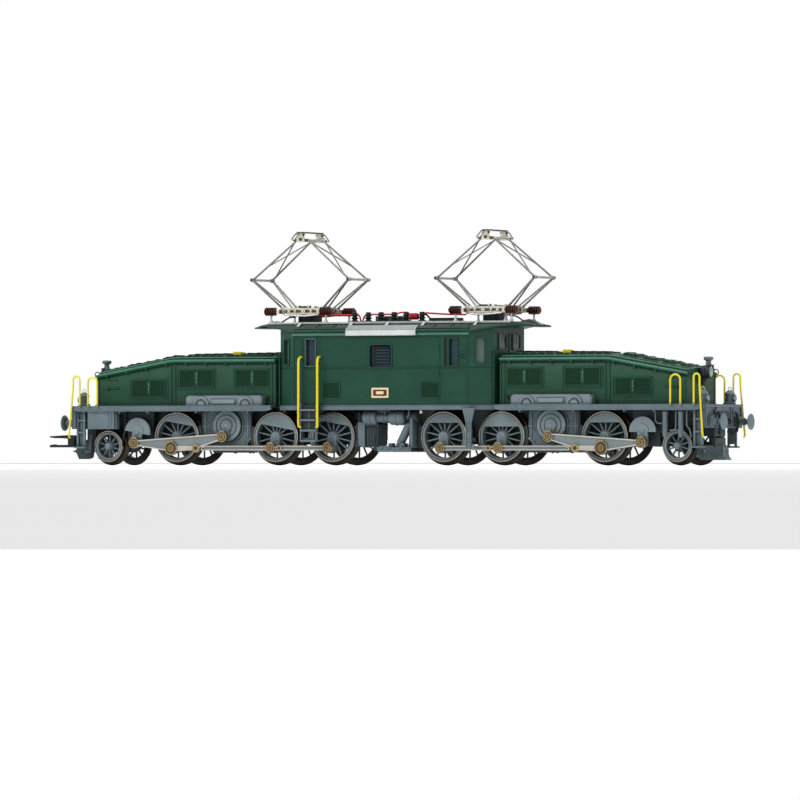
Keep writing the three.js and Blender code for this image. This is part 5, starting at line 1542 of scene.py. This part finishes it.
def roof_side_details(s):
    """The eave's ribs, the raised walkway on its brackets and the rivets of one side, drawn at positive Y."""
    s.use(ROOF_GREEN)
    s.prism([(15.7, 40.1), (16.2, 40.2), (16.25, 40.5), (15.6, 40.75)], (-30.6, 30.6), "yz")
    s.prism([(14.7, 40.85), (15.0, 41.0), (14.6, 41.35), (14.2, 41.3)], (-30.2, 30.2), "yz")
    for x in [-28.8 + 5.76 * i for i in range(11)]:
        s.wire([(x, 15.6, 40.5), (x, 13.0, 41.7), (x, 9.9, 42.4)], 0.13, 6)
    s.use(SILVER).prism(rounded((-41.6, 41.6), (7.5, 9.4), 0.2), (42.75, 43.15), "xy")
    s.prism([(9.15, 42.6), (9.45, 42.6), (9.45, 43.2), (9.15, 43.2)], (-41.6, 41.6), "yz")
    for x in (-30.3, -12.4, 0.0, 12.4, 30.3):
        s.prism([(9.2, 42.75), (9.6, 43.1), (11.3, 42.1), (11.6, 41.9), (11.3, 41.7)], (x - 0.45, x + 0.45), "yz")
        s.box((x - 0.3, x + 0.3), (8.0, 9.6), (42.2, 42.9))
    for i in range(54):
        x = -41.2 + 1.54 * i
        s.box((x, x + 0.5), (7.7, 9.0), (43.1, 43.22))


def roof_hatch():
    """The pale hatch that lies on the slope and hangs over the eave, on both sides."""
    shape = Shape(PANEL)

    def panel(s):
        x = (-11.4, 12.6)
        # The slope of the hatch in a darker copy of its pale grey: painted shade.
        s.use(HATCH_SHADED_GREY).prism([(14.0, 41.75), (15.9, 40.35), (16.25, 40.35), (16.2, 40.8), (14.4, 42.05)], x, "yz")
        s.use(PANEL).prism([(15.8, 40.5), (16.3, 40.4), (16.45, 38.95), (15.9, 38.75)], x, "yz")
        for at in (x[0] + 0.2, x[1] - 0.2):
            s.prism([(14.1, 42.15), (16.35, 40.75), (16.5, 38.9), (15.9, 38.8)], (at - 0.12, at + 0.12), "yz")
        for at in (-5.3, 0.6, 6.6):
            s.disc((at, 16.2, 0), 0.22, (40.25, 40.75), "z", 12)
    shape.both_sides(panel)
    place(shape, "roof_hatches", "body", (), bevel=0.07)


def post_insulator(s, x, y, low, high, radius=0.85):
    """A ribbed post with a cap."""
    sheds = 3
    pitch = (high - low - 0.5) / sheds
    profile = [(radius * 0.8, low)]
    for i in range(sheds):
        z = low + i * pitch
        profile += [(radius * 0.62, z + pitch * 0.1), (radius, z + pitch * 0.45), (radius, z + pitch * 0.62),
                    (radius * 0.62, z + pitch * 0.95)]
    profile += [(radius * 0.7, high - 0.5), (radius * 0.75, high - 0.1), (radius * 0.5, high)]
    s.turned(profile, (x, y, 0), "z", 20)


def roof_line():
    """The red conductor on its posts, with a coil, two drops and the low boxes beside it."""
    shape = Shape(RED)
    y, z = -2.0, 45.6
    posts = (-15.3, -10.6, -6.2, -1.7, 2.5, 7.9)
    for x in posts:
        shape.use(POST_GREEN)
        post_insulator(shape, x, y, 43.1, 46.3, 1.15)
    shape.use(GREY).prism(rounded((-16.8, 20.2), (-3.6, 3.6), 0.4), (43.05, 43.5), "xy")
    shape.use(PALE_GREY).prism(rounded((-9.4, 1.2), (0.2, 4.2), 0.4), (43.4, 45.1), "xy")
    for x in (-8.6, -4.0):
        shape.prism(rounded((x, x + 2.6), (-1.2, 0.4), 0.3), (43.4, 45.0), "xy")
    shape.use(DARK_AND_SHADED_GREY).prism(rounded((9.6, 19.2), (-1.0, 4.2), 0.4), (43.4, 44.4), "xy")
    shape.use(RED).wire([(-27.5, y, 45.0), (-25.0, y, 45.4), (-16.4, y, 45.4), (-15.3, y, z)], 0.36, 12)
    shape.wire([(-15.3, y, z), (-14.1, y, 45.6), (-13.5, y, 44.8), (-13.2, y, 43.4)], 0.28, 10)
    shape.wire([(-12.6, y, 43.4), (-12.1, y, 44.8), (-11.6, y, 45.4), (-10.6, y, z)], 0.28, 10)
    shape.wire([(-10.6, y, z), (-6.2, y, z), (-1.7, y, z), (0.6, y, z + 0.5), (2.5, y, z + 0.6), (3.6, y, z)],
               0.26, 10)
    coil = []
    for i in range(61):
        angle = math.tau * i / 12
        coil.append((3.9 + 2.6 * i / 60, y + 0.85 * math.cos(angle), 44.9 + 0.85 * math.sin(angle)))
    shape.wire(coil, 0.24, 8)
    shape.wire([(6.5, y, 45.2), (7.9, y, z + 0.3), (9.4, y, z + 0.3), (14.0, y, z), (17.5, y, 45.4), (23.0, y, 45.3)],
               0.28, 10)
    shape.use(BLACK).wire([(8.6, y, 45.8), (9.6, y, 45.2), (10.4, y, 44.4), (11.2, y, 43.5)], 0.3, 8)
    place(shape, "conductor_line", "body", ["roof_line"], bevel=0.04, smooth=50)


# ---- pantographs ---------------------------------------------------------------------------------------
PIVOT, KNEE, TOP = Vector((6.3, 5.0, 47.0)), Vector((16.7, 7.0, 56.5)), Vector((2.0, 5.0, 68.7))
HEAD_TOP = 71.3


def at_pantograph(end, half="outer"):
    """Where a pantograph stands, and which way the half of it is turned."""
    x = -PANTOGRAPH_X if end == "front" else PANTOGRAPH_X
    turned_round = (half == "outer") == (end == "front")
    turn = Matrix.Rotation(math.pi, 4, "Z") if turned_round else Matrix.Identity(4)
    return Matrix.Translation((x, 0, 0)) @ turn


def ribbed_bar(s, start, end, y, z, radius):
    """A horizontal ribbed insulator along X."""
    low, high = sorted((start, end))
    count = 6
    pitch = (high - low - 0.5) / count
    profile = [(radius * 0.6, low)]
    for i in range(count):
        x = low + 0.25 + i * pitch
        profile += [(radius * 0.5, x), (radius * 0.5, x + pitch * 0.3), (radius, x + pitch * 0.5),
                    (radius, x + pitch * 0.74), (radius * 0.5, x + pitch * 0.94)]
    s.turned(profile + [(radius * 0.6, high)], (0, y, z), "x", 24)


def pantograph_base(end):
    shape = Shape(CREAM_SILVER)
    shape.matrix = at_pantograph(end)

    def quarter(s):
        for way in SIDES:
            s.use(BROWN)
            ribbed_bar(s, way * 7.4, way * 11.7, 8.0, 46.6, 1.3)
            s.use(SILVER).turned([(0.85, 43.1), (0.7, 43.4), (0.32, 44.1), (0.3, 45.6)], (way * 9.5, 8.0, 0), "z", 20)
            s.disc((way * 9.5, 8.0, 0), 0.5, (45.1, 45.5), "z", 16)
            s.use(CREAM_SILVER).box((way * 6.5, way * 7.5), (6.0, 8.6), (45.9, 47.3))
            s.use(BRONZE).disc((way * 7.0, 8.0, 46.6), 0.5, (-0.9, 0.9), "x", 16)
            s.use(CREAM_SILVER).prism(rounded((way * 5.4, way * 7.2), (46.0, 48.0), 0.5), (4.2, 6.3))
            s.wire([(way * 2.4, 3.2, 47.2), (way * 5.6, 3.4, 47.0)], 0.5, 14)
            s.use(STEEL)
            turns = 30
            spring = []
            for i in range(turns * 4):
                angle = math.tau * i / 8
                spring.append((way * (1.2 + 3.8 * i / (turns * 4)), 4.6 + 0.5 * math.cos(angle),
                               46.9 + 0.5 * math.sin(angle)))
            s.wire(spring, 0.13, 5)
        s.use(CREAM_SILVER).prism([
            (-7.4, 46.1), (-5.2, 45.6), (5.2, 45.6), (7.4, 46.1), (7.4, 46.6), (5.2, 46.2), (-5.2, 46.2), (-7.4, 46.6),
        ], (6.1, 6.6))
        s.prism([(-6.8, 46.9), (-4.4, 47.1), (4.4, 47.1), (6.8, 46.9), (6.8, 47.3), (4.6, 47.7), (-4.6, 47.7),
                 (-6.8, 47.3)], (6.1, 6.5))
        for x, width in ((-6.2, 0.9), (-3.6, 0.7), (-0.9, 1.3), (1.9, 0.6), (4.1, 1.0), (6.3, 0.8)):
            s.box((x - width / 2, x + width / 2), (6.0, 6.7), (45.8, 47.4))
            s.disc((x, 0, 46.7), 0.3, (6.6, 7.0), segments=12)
        s.box((-4.9, 4.9), (2.3, 2.9), (46.2, 47.9))
        s.use(SILVER).box((-5.2, 5.2), (5.3, 5.6), (46.0, 47.3))
        s.use(DARK_AND_SHADED_GREY).box((-3.0, 1.4), (5.2, 6.4), (47.7, 48.3))
        s.use(SILVER)
        for x in (-2.6, 1.0):
            s.box((x - 0.3, x + 0.3), (5.0, 6.5), (47.4, 48.5))
        s.wire([(-6.4, 6.9, 45.6), (-2.0, 7.0, 45.2), (1.2, 7.0, 45.3), (5.8, 6.9, 45.7)], 0.26, 8)
    shape.both_sides(quarter)
    for way in SIDES:
        shape.use(CREAM_SILVER).box((way * 2.4, way * 4.0), (-6.2, 6.2), (45.7, 46.4))
    shape.use(CREAM_SILVER).disc((0, 0, 47.3), 0.6, (-6.0, 6.0), "y", 18)
    shape.use(DARK_AND_SHADED_GREY).prism(rounded((-2.5, 2.5), (-3.7, 3.7), 0.6), (43.1, 45.8), "xy")
    for x in (-1.6, 0.0, 1.6):
        shape.box((x - 0.25, x + 0.25), (-3.9, 3.9), (43.3, 45.6))
    shape.wire([(4.0, 2.0, 45.0), (5.6, 3.4, 44.8), (6.6, 4.2, 44.0), (7.4, 5.0, 43.3)], 0.25, 8)
    shape.use(SILVER).turned([(0.9, 43.1), (0.8, 43.4), (0.5, 43.9), (0.45, 46.0)], (6.2, -5.2, 0), "z", 20)
    place(shape, f"pantograph_seat_{end}", "body", [f"pantograph_base_{end}"], bevel=0.05)


def lower_arm(end, half):
    """Two pairs of tapering tubes from the shaft on the base up to the knee."""
    shape = Shape(WIRE)
    shape.matrix = at_pantograph(end, half)
    shape.disc((PIVOT.x, 0, PIVOT.z), 0.62, (-5.6, 5.6), "y", 18)
    shape.disc((KNEE.x, 0, KNEE.z), 0.42, (-KNEE.y - 0.5, KNEE.y + 0.5), "y", 16)

    def tubes(s):
        root, top = PIVOT - Vector((0, 3.6, 0)), KNEE - Vector((0.1, 0.6, 0))
        s.use(WIRE).wire([PIVOT, KNEE], 0.36, 12, 0.3)
        s.wire([root, top], 0.28, 10, 0.24)
        s.wire([PIVOT.lerp(KNEE, 0.6), root.lerp(top, 0.6)], 0.14, 6)
        s.use(CREAM_SILVER).disc((PIVOT.x, 0, PIVOT.z), 0.95, (4.3, 5.5), "y", 18)
        s.use(WIRE).disc((KNEE.x, 0, KNEE.z), 0.6, (KNEE.y - 0.4, KNEE.y + 0.5), "y", 18)
    shape.both_sides(tubes)
    name = f"lower_arm_{end}_{half}"
    place(shape, f"tube_{name}", f"{name}_body", [name], bevel=0)


def upper_arm(end, half):
    """The slender frame from the knee to the head, with crossed stays."""
    shape = Shape(WIRE)
    shape.matrix = at_pantograph(end, half)

    def along(share, y):
        point = KNEE.lerp(TOP, share)
        return (point.x, y, point.z)
    shape.disc((TOP.x, 0, TOP.z), 0.38, (-TOP.y - 0.4, TOP.y + 0.4), "y", 14)
    shape.wire([along(0.33, 6.0), along(0.97, -5.1)], 0.22, 8)
    shape.wire([along(0.11, -6.2), along(0.94, 5.1)], 0.22, 8)

    def tubes(s):
        s.use(WIRE).wire([along(0.03, 6.3), along(1, TOP.y)], 0.33, 12, 0.28)
        s.disc((KNEE.x, 0, KNEE.z), 0.62, (5.7, 6.4), "y", 18)
        s.use(CREAM_SILVER).disc((TOP.x, 0, TOP.z), 0.55, (TOP.y - 0.5, TOP.y + 0.2), "y", 16)
    shape.both_sides(tubes)
    name = f"upper_arm_{end}_{half}"
    place(shape, f"tube_{name}", f"{name}_body", [name], bevel=0)


def collector_head(end):
    """The contact strip with drooping horns on two sprung holders."""
    shape = Shape(WIRE)
    shape.matrix = at_pantograph(end)
    top = HEAD_TOP
    for x in (-0.6, 0.6):
        bow = [(x, -11.8, top - 2.6), (x, -9.8, top - 1.3), (x, -8.2, top - 0.45), (x, -7.0, top - 0.25),
               (x, 7.0, top - 0.25), (x, 8.2, top - 0.45), (x, 9.8, top - 1.3), (x, 11.8, top - 2.6)]
        shape.wire(bow, 0.22, 10)
    shape.use(BLACK).box((-0.95, -0.3), (-7.2, 7.2), (top - 0.3, top))
    shape.box((0.3, 0.95), (-7.2, 7.2), (top - 0.3, top))

    def holder(s):
        s.use(WIRE).prism([(-2.9, 68.3), (-2.6, 68.8), (-1.0, 69.2), (1.0, 69.2), (2.6, 68.8), (2.9, 68.3)][::-1],
                          (6.1, 6.5))
        s.use(CREAM_SILVER).prism([(-1.5, 68.1), (-1.2, 69.6), (1.2, 69.6), (1.5, 68.1)][::-1], (6.0, 6.7))
        s.box((-0.8, 0.8), (5.8, 6.9), (69.4, top - 0.4))
        s.use(BLACK).box((-1.15, 1.15), (5.9, 6.8), (top - 1.2, top - 0.6))
        s.use(BRONZE).disc((0, 0, 69.0), 0.5, (6.5, 7.0), "y", 16)
        for x in (-TOP.x, TOP.x):
            s.disc((x, 0, TOP.z), 0.45, (5.5, 6.9), "y", 14)
        s.use(WIRE).wire([(-0.62, 11.75, top - 2.55), (0.62, 11.75, top - 2.55)], 0.24, 8)
        s.wire([(-0.62, 9.0, top - 0.85), (0.62, 9.0, top - 0.85)], 0.15, 6)
    shape.both_sides(holder)
    place(shape, f"contact_bow_{end}", f"collector_{end}", [f"collector_head_{end}"], bevel=0.04)


def pantograph(end):
    pantograph_base(end)
    for half in ("outer", "inner"):
        lower_arm(end, half)
        upper_arm(end, half)
    collector_head(end)


# ---- the whole locomotive ------------------------------------------------------------------------------
def repaint(node, material):
    """Gives a CAD node that stays visible a finished material."""
    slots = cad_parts[node].material_slots
    if slots:
        for index in range(len(slots)):
            slots[index].material = material
    else:
        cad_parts[node].data.materials.append(material)


def locomotive():
    for end in ENDS:
        bogie(end)
        pantograph(end)
    coupler()
    snow_plough()
    body_walls()
    glazing()
    under_frame()
    for side in ("near", "far"):
        door_steps(side)
    roof_shell()
    roof_hatch()
    roof_line()
    repaint("motor", BLACK)
    for end in ENDS:
        repaint(f"cardan_shaft_{end}", STEEL)


# ---- floor, lights and camera --------------------------------------------------------------------------
def floor():
    """A plain pale floor under the wheels."""
    mesh = bpy.data.meshes.new("floor")
    reach = 6.0
    mesh.from_pydata([(-reach, -reach, 0), (reach, -reach, 0), (reach, reach, 0), (-reach, reach, 0)], [],
                     [(0, 1, 2, 3)])
    n = Nodes("floor_white")
    n.link(n.mix(n.ramp(n.noise(60.0), 0.3, 0.7), (0.9, 0.9, 0.9), (0.94, 0.94, 0.94)), n.shader.inputs["Base Color"])
    n.shader.inputs["Roughness"].default_value = 0.75
    n.shader.inputs["Emission Color"].default_value = (1, 1, 1, 1)
    n.shader.inputs["Emission Strength"].default_value = 0.25
    mesh.materials.append(n.material)
    plane = bpy.data.objects.new("floor", mesh)
    bpy.context.scene.collection.objects.link(plane)


def area_light(name, location, target, size, power, tint=(1, 1, 1)):
    data = bpy.data.lights.new(name, "AREA")
    data.shape = "RECTANGLE"
    data.size, data.size_y = size
    data.energy = power
    data.color = tint
    lamp = bpy.data.objects.new(name, data)
    lamp.location = location
    lamp.rotation_euler = (Vector(target) - Vector(location)).to_track_quat("-Z", "Y").to_euler()
    bpy.context.scene.collection.objects.link(lamp)


def lighting():
    world = bpy.data.worlds.new("studio")
    world.use_nodes = True
    tree = world.node_tree
    seen = tree.nodes.new("ShaderNodeLightPath").outputs["Is Camera Ray"]
    strength = tree.nodes.new("ShaderNodeMapRange")
    strength.inputs["To Min"].default_value = 0.55
    strength.inputs["To Max"].default_value = 1.0
    tree.links.new(seen, strength.inputs["Value"])
    tree.nodes["Background"].inputs["Color"].default_value = (1, 1, 1, 1)
    tree.links.new(strength.outputs["Result"], tree.nodes["Background"].inputs["Strength"])
    bpy.context.scene.world = world
    centre = (ORIGIN.x, 0, 0.03)
    area_light("key", (ORIGIN.x - 0.45, -0.75, 0.75), centre, (0.7, 0.5), 6.0)
    area_light("fill", (ORIGIN.x + 0.8, -0.6, 0.35), centre, (0.5, 0.5), 1.5)
    area_light("top", (ORIGIN.x, 0.1, 0.95), centre, (0.9, 0.5), 4.0)
    area_light("rim", (ORIGIN.x + 0.2, 0.9, 0.5), centre, (0.9, 0.4), 2.0)
    bpy.context.scene.view_settings.view_transform = "Standard"


CAMERA_TURN = math.radians(26.37)
CAMERA_DISTANCE = 2.45
CAMERA_PITCH = math.atan(62 / 7937)
CAMERA_YAW = math.atan(2.06 / 7937)
CAMERA_LENS = 357.2


def camera():
    """A long lens at rail height, a quarter turn's third round towards the rear end."""
    data = bpy.data.cameras.new("camera")
    data.lens = CAMERA_LENS
    data.sensor_width = 36
    data.clip_end = 20
    view = bpy.data.objects.new("camera", data)
    view.location = ORIGIN + CAMERA_DISTANCE * Vector((math.sin(CAMERA_TURN), -math.cos(CAMERA_TURN), 0))
    turn = CAMERA_TURN - CAMERA_YAW * 0 + CAMERA_YAW
    view.rotation_euler = (math.pi / 2 + CAMERA_PITCH, 0, turn)
    bpy.context.scene.collection.objects.link(view)
    bpy.context.scene.camera = view


locomotive()
floor()
lighting()
camera()
